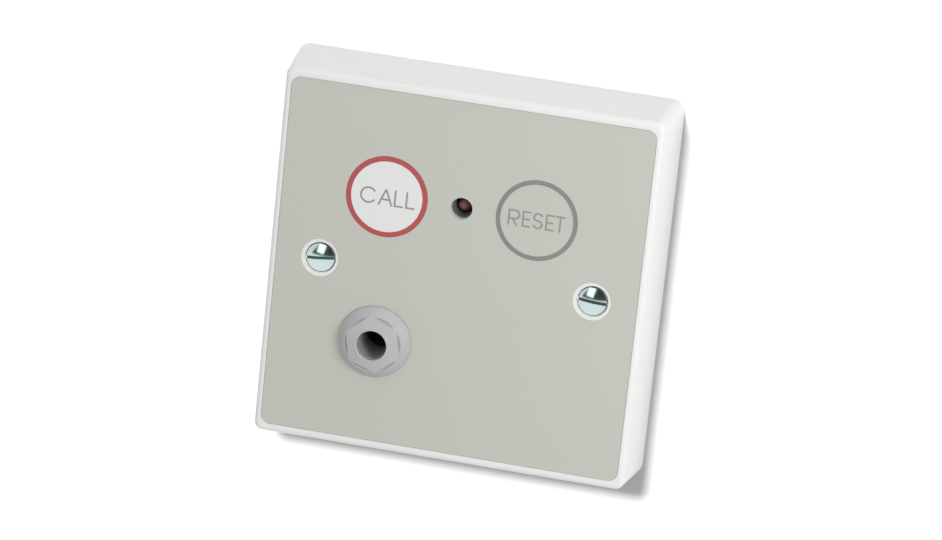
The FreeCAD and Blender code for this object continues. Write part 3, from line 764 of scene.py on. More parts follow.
@dataclass
class PrintedOverlay:
    """The printed film: a field with holes, and two press areas that dip with their pushers."""

    corner_radius: float = 2.0 * MM
    corner_steps: int = 10
    screw_hole_radius: float = 4.26 * MM
    lamp_hole_radius: float = 2.40 * MM
    jack_hole_radius: float = 4.70 * MM
    call_ring_width: float = 1.18 * MM
    reset_ring_width: float = 1.03 * MM
    disc_edge: float = 0.02 * MM
    disc_thickness: float = 0.12 * MM
    disc_back_step: float = 0.30 * MM
    slope_steps: int = 8
    spread: float = 0.06 * MM
    sides: int = 128

    def build(self) -> None:
        """Makes the field, then a ring and a disc for each press area."""
        low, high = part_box("overlay_film")
        self.front, self.back = low.y, high.y
        self.field(low, high)
        self.press_area("call", self.call_ring_width, RED_PRINT, WHITE_PRINT, "print_red", "print_white",
                        "call_disc_print")
        self.press_area("reset", self.reset_ring_width, GREY_PRINT, FILM_POLYESTER, "print_grey",
                        "film_grey")

    def field(self, low: Vector, high: Vector) -> None:
        """Makes the film round the press areas.

        Args:
            low: the lowest corner of the film's box.
            high: the highest corner of the film's box.
        """
        bpy.ops.mesh.primitive_plane_add(size=1.0, rotation=FACING_ROOM)
        film = bpy.context.object
        film.scale = (high.x - low.x + 2 * self.spread, high.z - low.z + 2 * self.spread, 1.0)
        film.location = ((low.x + high.x) / 2, self.front, (low.z + high.z) / 2)
        settle(film, "overlay_field")
        with editing(film):
            bpy.ops.mesh.bevel(offset=self.corner_radius, segments=self.corner_steps, affect="VERTICES")
            bpy.ops.mesh.select_all(action="SELECT")
            bpy.ops.mesh.extrude_region_move(
                TRANSFORM_OT_translate={"value": (0.0, self.back - self.front, 0.0)})
            close_mesh()
        lamp, nut = middle("indicator_lens"), middle("jack_nut")
        holes = [(side * SCREW_SPACING / 2, 0.0, self.screw_hole_radius) for side in (-1, 1)]
        holes.append((lamp.x, middle("call_ring_print").z, self.lamp_hole_radius))
        holes.append((nut.x, nut.z, self.jack_hole_radius))
        holes += [(middle(ring).x, middle(ring).z, self.ring_radius(ring))
                  for ring in ("call_ring_print", "reset_ring_print")]
        tools = [bar("film_hole", x, z, radius, self.front - MM, self.back + MM, sides=self.sides)
                 for x, z, radius in holes]
        combine(film, "DIFFERENCE", *tools)
        fit(film, "plate", "film_grey", FILM_POLYESTER, "overlay_film")

    def ring_radius(self, ring: str) -> float:
        """Gives the outer radius of a ring's CAD print."""
        low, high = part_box(ring)
        return (high.x - low.x) / 2

    def press_area(self, key: str, ring_width: float, ring_finish: Finish, disc_finish: Finish,
                   ring_slot: str, disc_slot: str, *disc_nodes: str) -> None:
        """Makes one press area: the ring slopes up to the disc, and the disc rides on its button.

        Args:
            key: call or reset.
            ring_width: the printed ring's width.
            ring_finish: the ring's print.
            disc_finish: the disc's print.
            ring_slot: the ring's material slot, which is not used.
            disc_slot: the disc's material slot.
            disc_nodes: the CAD nodes that the disc stands for.
        """
        centre = middle(f"{key}_ring_print")
        outer = self.ring_radius(f"{key}_ring_print")
        inner = outer - ring_width
        top = self.front - EMBOSS
        shares = [i / self.slope_steps for i in range(self.slope_steps + 1)]
        slope = [(outer - ring_width * s, self.front - EMBOSS * s * s * (3 - 2 * s)) for s in shares]
        ring = turned(f"{key}_ring", centre.x, centre.z, [(outer, self.back), *slope, (inner, self.back)],
                      self.sides)
        smooth(ring)
        dress(ring, ring_finish)
        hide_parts(f"{key}_ring_print")
        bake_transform(ring)
        log.info("%s bends between plate and %s_button", ring.name, key)
        disc_back = top + self.disc_thickness
        disc = turned(f"{key}_disc", centre.x, centre.z, [
            (0.0, top), (inner, top), (inner, top + self.disc_edge), (inner - self.disc_back_step, disc_back),
            (0.0, disc_back)], self.sides)
        smooth(disc)
        fit(disc, f"{key}_button", disc_slot, disc_finish, *disc_nodes)


@dataclass
class Legend:
    """A word in plain letters of one even stroke, printed on a press area.

    The lefts are in millimetres: where each letter's left edge lies, from the word's own left edge. The
    sizes that begin with a letter are shares of the height, and the opening and the hook are degrees.
    """

    word: str
    key: str
    width: float
    lefts: tuple[float, ...]
    height: float = 3.7 * MM
    drop: float = 0.12 * MM
    stroke: float = 0.40 * MM
    ink: float = 0.015 * MM
    a_span: float = 0.95
    a_bar: float = 0.36
    c_opening: float = 34.0
    e_arm: float = 0.53
    l_foot: float = 0.56
    r_bowl: float = 0.26
    r_neck: float = 0.42
    r_foot: float = 0.62
    s_hook: float = 15.0
    s_stretch: float = 1.14
    t_span: float = 0.60

    def letter(self, letter: str) -> list[Line | Arc]:
        """Gives the strokes of one letter.

        Args:
            letter: the letter.

        Returns:
            Its strokes, with its left edge and the foot of the line at 0.
        """
        height, half = self.height, self.stroke / 2
        top = height - half
        stem = Line((half, 0.0), (half, height))
        if letter == "C":
            return [Arc((height / 2, height / 2), height / 2 - half, self.c_opening, 360.0 - self.c_opening)]
        if letter == "A":
            reach = self.a_span * height - self.stroke
            peak = (half + reach / 2, height - half / 2)
            level = self.a_bar * height
            inset = reach / 2 * level / height
            return [Line((half, -half), peak), Line((half + reach, -half), peak),
                    Line((half + inset, level), (half + reach - inset, level))]
        if letter == "L":
            return [stem, Line((half, half), (self.l_foot * height, half))]
        if letter == "E":
            arm = self.e_arm * height
            levels = ((half, arm), (height / 2, arm - half), (top, arm))
            return [stem] + [Line((half, z), (end, z)) for z, end in levels]
        if letter == "S":
            radius = (height - self.stroke) / 4
            return [Arc((radius + half, top - radius), radius, self.s_hook, 270.0),
                    Arc((radius + half, half + radius), radius, self.s_hook - 180.0, 90.0)]
        if letter == "T":
            span = self.t_span * height
            return [Line((0.0, top), (span, top)), Line((span / 2, 0.0), (span / 2, top))]
        radius, neck = self.r_bowl * height, self.r_neck * height
        low = top - 2 * radius
        return [stem, Line((half, top), (neck, top)), Arc((neck, top - radius), radius, -90.0, 90.0),
                Line((neck, low), (half, low)), Line((neck - radius / 2, low), (self.r_foot * height, -half))]

    def build(self) -> None:
        """Makes the word and fixes it to its press area."""
        centre = middle(f"{self.key}_ring_print")
        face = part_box("overlay_film")[0].y - EMBOSS
        letters = []
        for i, (letter, left) in enumerate(zip(self.word, self.lefts)):
            piece = drawing(f"{self.key}_{letter}_{i}", self.letter(letter), self.stroke, face - self.ink,
                            face + self.ink)
            self.trim(piece)
            piece.scale.x = self.s_stretch if letter == "S" else 1.0
            piece.location.x = left * MM
            letters.append(settle(piece, piece.name))
        word = joined(f"{self.key}_legend", letters)
        word.location = (centre.x - self.width / 2, 0.0, centre.z - self.height / 2 - self.drop)
        settle(word, f"{self.key}_legend")
        fit(word, f"{self.key}_button", "print_grey", LEGEND_PRINT)

    def trim(self, piece: Piece) -> None:
        """Cuts a letter's slanted strokes level with the foot and the top of the line.

        Args:
            piece: the letter.
        """
        for height, side in ((0.0, -1.0), (self.height, 1.0)):
            if any(side * (v.co.z - height) > WELD for v in piece.data.vertices):
                cut_off(piece, (0.0, 0.0, height), (0.0, 0.0, side))


@dataclass
class WallScrew:
    """A raised countersunk screw with a straight slot, a plain shank and a rolled thread.

    The slot's turn is in degrees, and the painted shade reaches in from the head's edge by a share of the
    rim's radius.
    """

    name: str
    x: float
    slot_turn: float
    slot_width: float = 0.68 * MM
    slot_depth: float = 0.92 * MM
    slot_rounding: float = 0.09 * MM
    head_radius: float = 3.30 * MM
    head_dome: float = 0.55 * MM
    rim_radius: float = 0.27 * MM
    painted_shade_rim: float = 0.7
    dome_steps: int = 14
    rim_steps: int = 5
    sides: int = 128
    length: float = 35.0 * MM
    shank_radius: float = 1.55 * MM
    shank_length: float = 17.0 * MM
    thread_radius: float = 1.75 * MM
    root_radius: float = 1.37 * MM
    root_width: float = 0.16 * MM
    crest: float = 0.08 * MM
    pitch: float = 0.60 * MM
    thread_steps: int = 28
    overlap: float = 0.1 * MM
    point: float = 0.80 * MM
    point_sides: int = 48

    def __post_init__(self) -> None:
        """Takes the depths of the screw's end and of its crown from the frame."""
        self.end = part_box("wall_screws")[1].y
        self.crown = self.end - self.length

    def dome(self) -> list[Point]:
        """Gives the points of the raised head, from its crown round its soft rim to its widest place.

        Returns:
            Points of radius and depth.
        """
        ball = (self.head_radius ** 2 + self.head_dome ** 2) / (2 * self.head_dome)
        small = self.rim_radius
        reach = math.asin((self.head_radius - small) / (ball - small))
        centre = self.crown + ball - (ball - small) * math.cos(reach)
        face = [reach * i / self.dome_steps for i in range(self.dome_steps + 1)]
        rim = [reach + (math.pi / 2 - reach) * i / self.rim_steps for i in range(1, self.rim_steps + 1)]
        return ([(ball * math.sin(a), self.crown + ball * (1 - math.cos(a))) for a in face]
                + [(self.head_radius - small * (1 - math.sin(a)), centre - small * math.cos(a)) for a in rim])

    def head(self) -> Piece:
        """Makes the head with its slot, and the plain shank.

        Returns:
            The head and the shank, as one closed mesh.
        """
        neck = self.crown + self.head_dome + self.head_radius - self.shank_radius
        shank_end = self.crown + self.shank_length
        head = turned(self.name, self.x, 0.0, [
            *self.dome(), (self.shank_radius, neck), (self.shank_radius, shank_end), (0.0, shank_end)],
            self.sides)
        slot = block("slot", self.x, 0.0, 3 * self.head_radius, self.slot_width, self.crown - MM,
                     self.crown + self.slot_depth, math.radians(self.slot_turn))
        combine(head, "DIFFERENCE", slot)
        return round_edges(head, self.slot_rounding, segments=2, degrees=50.0)

    def paint_shade(self, screw: Piece) -> None:
        """Paints shade, in a darker zinc, on the slot's floor, the head's rim, its seat and the thread's
        root.

        Args:
            screw: the screw.
        """
        # The darker zinc is painted shade: in the slot, in the thread's root, round the head's rim and on its
        # seat.
        screw.data.materials.append(SHADE_PAINTED_ZINC.material())
        floor = self.crown + self.slot_depth
        rim = self.head_radius - self.painted_shade_rim * self.rim_radius
        for face in screw.data.polygons:
            reach = math.hypot(face.center.x - self.x, face.center.z)
            depth = face.center.y - self.crown
            seat = self.head_radius + self.head_dome - depth - self.rim_radius
            on_floor = abs(face.center.y - floor) < self.slot_rounding and reach < self.head_radius
            on_rim = depth < self.slot_depth and reach > rim
            on_seat = depth > self.head_dome and reach > max(seat, self.thread_radius)
            in_root = depth > self.shank_length and reach < self.root_radius + WELD
            if on_floor or on_rim or on_seat or (in_root and abs(face.normal.y) < 0.5):
                face.material_index = 1

    def thread(self) -> Piece:
        """Makes the thread: one tooth carried round as a screw, cut level at both ends.

        Returns:
            The thread, as a closed mesh of its own.
        """
        name = f"{self.name}_thread"
        start, end = self.crown + self.shank_length - self.overlap, self.end
        half, flank = self.pitch / 2, (self.pitch - self.root_width) / 2
        tooth = [(self.root_radius, -half), (self.root_radius, -flank), (self.thread_radius, -self.crest / 2),
                 (self.thread_radius, self.crest / 2), (self.root_radius, flank), (self.root_radius, half)]
        piece = piece_from(name, [(radius, start - 2 * self.pitch + depth, 0.0) for radius, depth in tooth],
                           [(i, i + 1) for i in range(len(tooth) - 1)])
        turns = math.ceil((end - start) / self.pitch) + 4
        apply_modifier(piece, "SCREW", axis="Y", screw_offset=self.pitch, iterations=turns,
                       steps=self.thread_steps, render_steps=self.thread_steps, use_merge_vertices=True,
                       merge_threshold=WELD)
        piece.location = (self.x, 0.0, 0.0)
        settle(piece, name)
        cut_off(piece, (0.0, start, 0.0), (0.0, -1.0, 0.0))
        cut_off(piece, (0.0, end, 0.0), (0.0, 1.0, 0.0))
        with editing(piece):
            close_mesh()
        wide = 2 * self.thread_radius
        envelope = turned("envelope", self.x, 0.0, [
            (0.0, start - MM), (wide, start - MM), (wide, end - MM),
            (self.thread_radius + WELD, end - self.point), (self.thread_radius - self.point, end),
            (0.0, end)], self.point_sides)
        combine(piece, "INTERSECT", envelope)
        return smooth(piece, 30.0)

    def build(self) -> None:
        """Makes the screw and fixes it to the plate."""
        screw = joined(self.name, [self.head(), self.thread()])
        fit(screw, "plate", "screw_zinc", BRIGHT_ZINC, "wall_screws")
        self.paint_shade(screw)


@dataclass
class SocketNut:
    """The grey nut: a flanged cone and a crowned hexagon, with the soft ridges of a nylon moulding."""

    flange_edge: float = 0.50 * MM
    rim_round: float = 0.20 * MM
    base_flats: float = 11.5 * MM
    front_flats: float = 10.8 * MM
    face_thickness: float = 1.5 * MM
    boss_height: float = 1.15 * MM
    crown_angle: float = 18.5
    crown_start: float = 0.32 * MM
    hollow_radius: float = 6.25 * MM
    hollow_depth: float = 0.52 * MM
    hollow_foot: float = 5.60 * MM
    hollow_edge: float = 0.10 * MM
    lip_height: float = 0.13 * MM
    lip_slope: float = 0.13 * MM
    bore_radius: float = 3.30 * MM
    thread_radius: float = 4.60 * MM
    mouth_chamfer: float = 0.18 * MM
    turn: float = 9.5
    voxel: float = 0.09 * MM
    passes: int = 2
    sides: int = 192

    def __post_init__(self) -> None:
        """Takes the nut's own place and planes from the frame."""
        low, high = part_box("jack_nut")
        centre = middle("jack_nut")
        self.x, self.z = centre.x, centre.z
        self.radius = (high.x - low.x) / 2
        self.front, self.back = low.y, high.y
        self.floor = self.front + self.boss_height + self.hollow_depth

    def flange(self) -> Piece:
        """Makes the flanged cone with its shallow round recess.

        Returns:
            The flange, without the bore.
        """
        top = Vector((self.hollow_radius + self.hollow_edge, self.front + self.boss_height))
        rim = Vector((self.radius, self.back - self.flange_edge))
        rounding = rim + (top - rim).normalized() * self.rim_round
        return turned("socket_nut", self.x, self.z, [
            (0.0, self.floor), (self.hollow_foot, self.floor), (self.hollow_radius, top.y), tuple(top),
            tuple(rounding), (rim.x, rim.y + self.rim_round), (self.radius, self.back), (0.0, self.back)],
            self.sides)

    def boss(self) -> Piece:
        """Makes the hexagon with leaning flats, the low cone of its face and the lip round its mouth.

        Returns:
            The hexagon, without the bore.
        """
        corner = 1 / math.cos(math.radians(30.0)) / 2
        foot = self.floor + self.hollow_depth
        boss = bar("boss", 0.0, 0.0, self.front_flats * corner, self.front, foot,
                   self.flats_at(foot) * corner, sides=6)
        boss.rotation_euler.y = math.radians(-self.turn)
        boss.location = (self.x, 0.0, self.z)
        settle(boss, "boss")
        start = self.bore_radius + self.crown_start
        reach = self.radius - start - self.lip_slope
        crown_top = self.front + self.lip_height
        crown_end = crown_top + reach * math.tan(math.radians(self.crown_angle))
        crown = turned("crown", self.x, self.z, [
            (0.0, self.front), (start, self.front), (start + self.lip_slope, crown_top),
            (self.radius, crown_end), (self.radius, self.back), (0.0, self.back)], self.sides)
        return combine(boss, "INTERSECT", crown)

    def flats_at(self, depth: float) -> float:
        """Gives the size across the flats at one depth."""
        share = (depth - self.front) / (self.floor - self.front)
        return self.front_flats + (self.base_flats - self.front_flats) * share

    def build(self) -> None:
        """Joins the flange and the hexagon, opens the mouth and melts the edges a little."""
        nose = self.front + self.face_thickness
        mouth = self.bore_radius + self.mouth_chamfer
        opening = turned("opening", self.x, self.z, [
            (0.0, self.front - MM), (mouth, self.front - MM), (mouth, self.front),
            (self.bore_radius, self.front + self.mouth_chamfer), (self.bore_radius, nose),
            (self.thread_radius, nose), (self.thread_radius, self.back + MM), (0.0, self.back + MM)],
            self.sides)
        nut = combine(self.flange(), "UNION", self.boss())
        combine(nut, "DIFFERENCE", opening)
        apply_modifier(nut, "REMESH", mode="VOXEL", voxel_size=self.voxel, use_smooth_shade=True)
        apply_modifier(nut, "SMOOTH", factor=0.5, iterations=self.passes)
        fit(nut, "plate", "nut_grey", NUT_NYLON, "jack_nut")


@dataclass
class IndicatorLamp:
    """The 3 mm red lamp: cloudy resin over a plated cup and post, in a grey sleeve whose grey is partly
    painted shade.

    The cup's floor and its slope are shares of its radius.
    """

    cup_radius: float = 0.62 * MM
    cup_depth: float = 0.28 * MM
    cup_front: float = 2.1 * MM
    cup_floor: float = 0.45
    cup_slope: float = 0.85
    cup_sides: int = 40
    post_side: float = 0.45 * MM
    post_front: float = 0.2 * MM
    spread: float = 0.62 * MM
    sleeve_front: float = -14.6 * MM
    sleeve_floor: float = -12.9 * MM
    funnel_top: float = -13.8 * MM
    lens_gap: float = 0.05 * MM
    sleeve_back: float = -10.5 * MM
    sleeve_radius: float = 2.38 * MM
    sleeve_wall: float = 0.20 * MM

    def build(self) -> None:
        """Dresses the lamp's own pieces, and adds the frame in the resin and the sleeve round it."""
        low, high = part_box("indicator_lens")
        centre = middle("indicator_lens")
        front = low.y + self.cup_front
        floor, back = front + self.cup_depth, front + 2 * self.cup_depth
        wide = self.cup_radius
        cup = turned("lamp_cup", centre.x - self.spread / 2, centre.z, [
            (0.0, floor), (wide * self.cup_floor, floor), (wide * self.cup_slope, front), (wide, front),
            (wide, back), (0.0, back)], self.cup_sides)
        starts = ((-1, front + 1.5 * self.cup_depth), (1, front + self.post_front))
        posts = [block("lamp_post", centre.x + side * self.spread, centre.z, self.post_side, self.post_side,
                       start, high.y) for side, start in starts]
        fit(joined("lamp_frame", [cup, *posts]), "plate", "contact_silver", LAMP_FRAME)
        inner = self.sleeve_radius - self.sleeve_wall
        collar = (high.x - low.x) / 2 + self.lens_gap
        sleeve = turned("lamp_sleeve", centre.x, centre.z, [
            (inner, self.sleeve_front), (self.sleeve_radius, self.sleeve_front),
            (self.sleeve_radius, self.sleeve_back), (collar, self.sleeve_back),
            (collar, self.sleeve_floor), (inner, self.funnel_top)])
        # The sleeve's grey is partly painted shade of the deep lamp hole.
        fit(smooth(sleeve), "plate", "spacer_black", SLEEVE_GREY_AND_SHADE)
        dress_node("indicator_lens", LAMP_RESIN)
        dress_node("indicator_leads", CONTACT_TIN)
        dress_node("indicator_spacer", SWITCH_NYLON)


@dataclass
class CircuitBoard:
    """The board: lacquer over glass cloth, with copper tracks, solder and white marking on its back.

    A sink is how far a thin piece reaches into the board. The solder's tip is a share of the pad's radius,
    its hollow is the power of its curve, and its crown is a share of its height.
    """

    track_width: float = 0.45 * MM
    track_height: float = 0.035 * MM
    via_radius: float = 0.45 * MM
    sink: float = 0.02 * MM
    marking_width: float = 0.18 * MM
    marking_height: float = 0.02 * MM
    marking_sink: float = 0.01 * MM
    outlined: tuple[tuple[str, float], ...] = (
        ("terminal_housing", 0.5 * MM), ("control_chip", 1.6 * MM), ("board_resistors", 0.9 * MM))
    switch_outline: float = 5.2 * MM
    can_outline: float = 3.1 * MM
    can_sweep: float = 300.0
    dot_place: Point = (-5.2 * MM, -3.0 * MM)
    dot_radius: float = 0.3 * MM
    pad_radius: float = 1.05 * MM
    solder_height: float = 0.75 * MM
    solder_tip: float = 0.34
    solder_hollow: float = 2.2
    solder_crown: float = 1.04
    solder_steps: int = 6
    solder_sides: int = 24
    lead_thickness: float = 0.30 * MM
    lead_width: float = 0.70 * MM
    lamp_lead_spread: float = 2.54 * MM
    terminal_pitch: float = 5.08 * MM
    can_lead_spread: float = 2.0 * MM
    chip_leg_pairs: int = 7
    chip_pitch: float = 1.27 * MM
    chip_foot: float = 0.25 * MM
    chip_pad: Point = (0.62 * MM, 1.2 * MM)
    end_pad_length: float = 0.8 * MM
    end_pad_reach: float = 0.1 * MM
    end_pad_margin: float = 0.25 * MM
    tag_inset: float = 1.6 * MM
    tag_length: float = 3.6 * MM
    tag_width: float = 3.0 * MM
    flat_height: float = 0.09 * MM
    flat_rounding: float = 0.05 * MM
    resistor_size: Point = (2.0 * MM, 1.25 * MM)
    ceramic_size: Point = (3.2 * MM, 1.6 * MM)
    end_length: float = 0.4 * MM
    end_skin: float = 0.03 * MM
    end_rounding: float = 0.06 * MM

    def __post_init__(self) -> None:
        """Takes the board's own planes from the frame."""
        low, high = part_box("circuit_board")
        self.front, self.back = low.y, high.y

    def switch_leads(self) -> list[Point]:
        """Gives the places of the eight switch leads, from the boxes of their nodes.

        Returns:
            Pairs of the place to the right and the height.
        """
        places = []
        for key in ("call", "reset"):
            low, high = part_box(f"{key}_switch_leads")
            xs = (low.x + self.lead_thickness / 2, high.x - self.lead_thickness / 2)
            zs = (low.z + self.lead_width / 2, high.z - self.lead_width / 2)
            places += [(x, z) for x in xs for z in zs]
        return places

    def solder_cone(self, x: float, z: float, plane: float, side: float) -> Piece:
        """Makes one solder joint, hollow-sided where the solder climbed the lead.

        Args:
            x: its place to the right.
            z: its height.
            plane: the depth of the board's face under it.
            side: 1 on the back of the board and -1 on the front.

        Returns:
            The new object.
        """
        height, tip = side * self.solder_height, self.solder_tip
        shares = [i / self.solder_steps for i in range(self.solder_steps + 1)]
        curve = [(self.pad_radius * (tip + (1 - tip) * (1 - s) ** self.solder_hollow), plane + height * s)
                 for s in shares]
        profile = [(0.0, plane), *curve, (0.0, plane + height * self.solder_crown)]
        return smooth(turned("joint", x, z, profile, self.solder_sides), 50.0)

    def solder(self) -> None:
        """Makes the joints on the back, where leads come through, and on the front for the back's parts."""
        lamp = middle("indicator_lens")
        pins = middle("terminal_pins")
        can = middle("smoothing_capacitor")
        back = self.switch_leads() + [(lamp.x + s * self.lamp_lead_spread / 2, lamp.z) for s in (-1, 1)]
        front = [(pins.x + (i - 1.5) * self.terminal_pitch, pins.z) for i in range(4)]
        front += [(can.x, can.z + s * self.can_lead_spread / 2) for s in (-1, 1)]
        joints = [self.solder_cone(x, z, self.back, 1.0) for x, z in back]
        joints += [self.solder_cone(x, z, self.front, -1.0) for x, z in front]
        fit(joined("solder_joints", joints), "plate", "contact_silver", SOLDER)

    def flat_joints(self) -> None:
        """Makes the flat solder under the chip's legs, the small parts' ends and the socket's tags."""
        low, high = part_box("control_chip_legs")
        chip = middle("control_chip")
        pads = []
        for i in range(self.chip_leg_pairs):
            x = chip.x + (i - (self.chip_leg_pairs - 1) / 2) * self.chip_pitch
            pads += [(x, z, *self.chip_pad) for z in (low.z + self.chip_foot, high.z - self.chip_foot)]
        for x, z, length, width in self.small_parts():
            pads += [(x + s * (length / 2 + self.end_pad_reach), z, self.end_pad_length,
                      width + self.end_pad_margin) for s in (-1, 1)]
        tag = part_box("jack_tip_contact")[1].x - self.tag_inset
        pads.append((tag, middle("jack_tip_contact").z, self.tag_length, self.tag_width))
        for node in ("jack_ring_contact", "jack_sleeve_contact"):
            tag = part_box(node)[1].z - self.tag_inset
            pads.append((middle(node).x, tag, self.tag_width, self.tag_length))
        pieces = [round_edges(block("pad", *pad, self.back - self.sink, self.back + self.flat_height),
                              self.flat_rounding, 2) for pad in pads]
        fit(joined("flat_solder", pieces), "plate", "contact_silver", SOLDER)

    def small_parts(self) -> list[tuple[float, float, float, float]]:
        """Gives the centre, length and width of each resistor and ceramic capacitor.

        Returns:
            The place to the right, the height, the length across and the width upwards of each.
        """
        length, width = self.resistor_size
        low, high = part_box("board_resistors")
        xs = (low.x + length / 2, high.x - length / 2)
        zs = (low.z + width / 2, middle("board_resistors").z, high.z - width / 2)
        places = [(x, z, length, width) for x in xs for z in zs]
        length, width = self.ceramic_size
        low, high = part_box("board_capacitors")
        zs = (low.z + width / 2, high.z - width / 2)
        return places + [((low.x + high.x) / 2, z, length, width) for z in zs]

    def part_ends(self) -> None:
        """Makes the tinned ends of the resistors and the ceramic capacitors."""
        tops = {self.resistor_size[0]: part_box("board_resistors")[1].y,
                self.ceramic_size[0]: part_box("board_capacitors")[1].y}
        ends = []
        for x, z, length, width in self.small_parts():
            for side in (-1, 1):
                end = block("end", x + side * (length / 2 - self.end_length / 2), z,
                            self.end_length + 2 * self.end_skin, width + 2 * self.end_skin,
                            self.back, tops[length] + self.end_skin)
                ends.append(round_edges(end, self.end_rounding, 2))
        fit(joined("tinned_ends", ends), "plate", "contact_silver", TINNED_END)

    def tracks(self) -> None:
        """Makes the copper tracks and the pads of the vias under the lacquer."""
        routes = (
            ((8.2, 5.0), (8.2, 9.0), (-6.0, 9.0), (-12.0, 15.0), (-12.0, 20.0)),
            ((9.5, 5.0), (9.5, 10.2), (-4.5, 10.2), (-8.5, 14.2), (-8.5, 24.0), (-13.5, 24.0)),
            ((10.8, 5.0), (10.8, 11.4), (3.0, 11.4), (1.0, 13.4)),
            ((13.3, 5.0), (13.3, 9.0), (12.2, 10.1), (12.2, 13.6)),
            ((14.6, 5.0), (14.6, 8.2), (20.4, 8.2), (20.4, 13.4)),
            ((15.8, 5.0), (15.8, 6.8), (23.0, 6.8), (23.0, 20.5), (20.0, 20.5)),
            ((8.2, -3.0), (8.2, -6.0), (3.4, -10.8), (3.4, -14.4)),
            ((9.5, -3.0), (9.5, -8.0), (8.5, -9.0), (8.5, -14.4)),
            ((12.0, -3.0), (12.0, -10.0), (13.5, -11.5), (13.5, -14.4)),
            ((14.6, -3.0), (14.6, -6.4), (18.6, -10.4), (18.6, -14.4)),
            ((7.0, 1.0), (2.4, 1.0)),
            ((-5.0, 4.2), (-9.0, 4.2), (-11.5, 6.7), (-15.4, 6.7)),
            ((-5.0, 1.0), (-9.5, 1.0), (-11.0, -0.5), (-14.6, -0.5)),
            ((-5.0, -2.2), (-7.2, -4.4), (-14.0, -4.4)),
            ((2.4, -2.2), (4.6, -4.4), (4.6, -6.4), (-3.0, -14.0), (-3.0, -16.6)),
            ((2.4, 4.2), (4.8, 6.6), (4.8, 7.6)),
            ((-20.0, 21.5), (-25.5, 21.5), (-26.5, 20.5), (-26.5, 10.0)),
            ((22.0, -14.4), (26.0, -10.4), (26.0, -8.4)),
        )
        low, top = self.back - self.sink, self.back + self.track_height
        pieces = []
        for route in routes:
            points = [(x * MM, z * MM) for x, z in route]
            ends = (points[0], points[-1])
            solids = [Line(a, b).solid("track", self.track_width, low, top)
                      for a, b in zip(points, points[1:])]
            solids += [bar("bend", x, z, self.track_width / 2, low, top, sides=16) for x, z in points[1:-1]]
            solids += [bar("via", x, z, self.via_radius, low, top, sides=20) for x, z in ends]
            pieces.append(combine(solids[0], "UNION", *solids[1:]))
        fit(joined("board_tracks", pieces), "plate", "board_green", LACQUERED_COPPER)

    def marking(self) -> None:
        """Prints the outlines of the parts on the back of the board."""
        outlines = []
        for node, margin in self.outlined:
            low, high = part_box(node)
            outlines.append((low.x - margin, low.z - margin, high.x + margin, high.z + margin))
        reach = self.switch_outline
        for key in ("call", "reset"):
            centre = middle(f"{key}_switch_base")
            outlines.append((centre.x - reach, centre.z - reach, centre.x + reach, centre.z + reach))
        front, back = self.back - self.marking_sink, self.back + self.marking_height
        pieces = []
        for i, (left, low, right, high) in enumerate(outlines):
            corners = ((left, low), (right, low), (right, high), (left, high), (left, low))
            pieces.append(drawing(f"outline_{i}", [Line(a, b) for a, b in zip(corners, corners[1:])],
                                  self.marking_width, front, back))
        can, chip = middle("smoothing_capacitor"), middle("control_chip")
        circle = Arc((can.x, can.z), self.can_outline, 0.0, self.can_sweep)
        pieces.append(circle.solid("can_outline", self.marking_width, front, back))
        pieces.append(bar("first_leg_dot", chip.x + self.dot_place[0], chip.z + self.dot_place[1],
                          self.dot_radius, front, back, sides=20))
        fit(joined("board_marking", pieces), "plate", "print_white", MARKING_INK)

    def build(self) -> None:
        """Dresses the board and everything soldered flat to it."""
        dress_node("circuit_board", BOARD_LACQUER)
        dress_node("board_resistors", RESISTOR_GLAZE)
        dress_node("board_capacitors", FIRED_CERAMIC)
        dress_node("control_chip_legs", CONTACT_TIN)
        dress_node("board_screws", BRIGHT_ZINC)
        dress_node("capacitor_leads", CONTACT_TIN)
        self.solder()
        self.flat_joints()
        self.part_ends()
        self.tracks()
        self.marking()


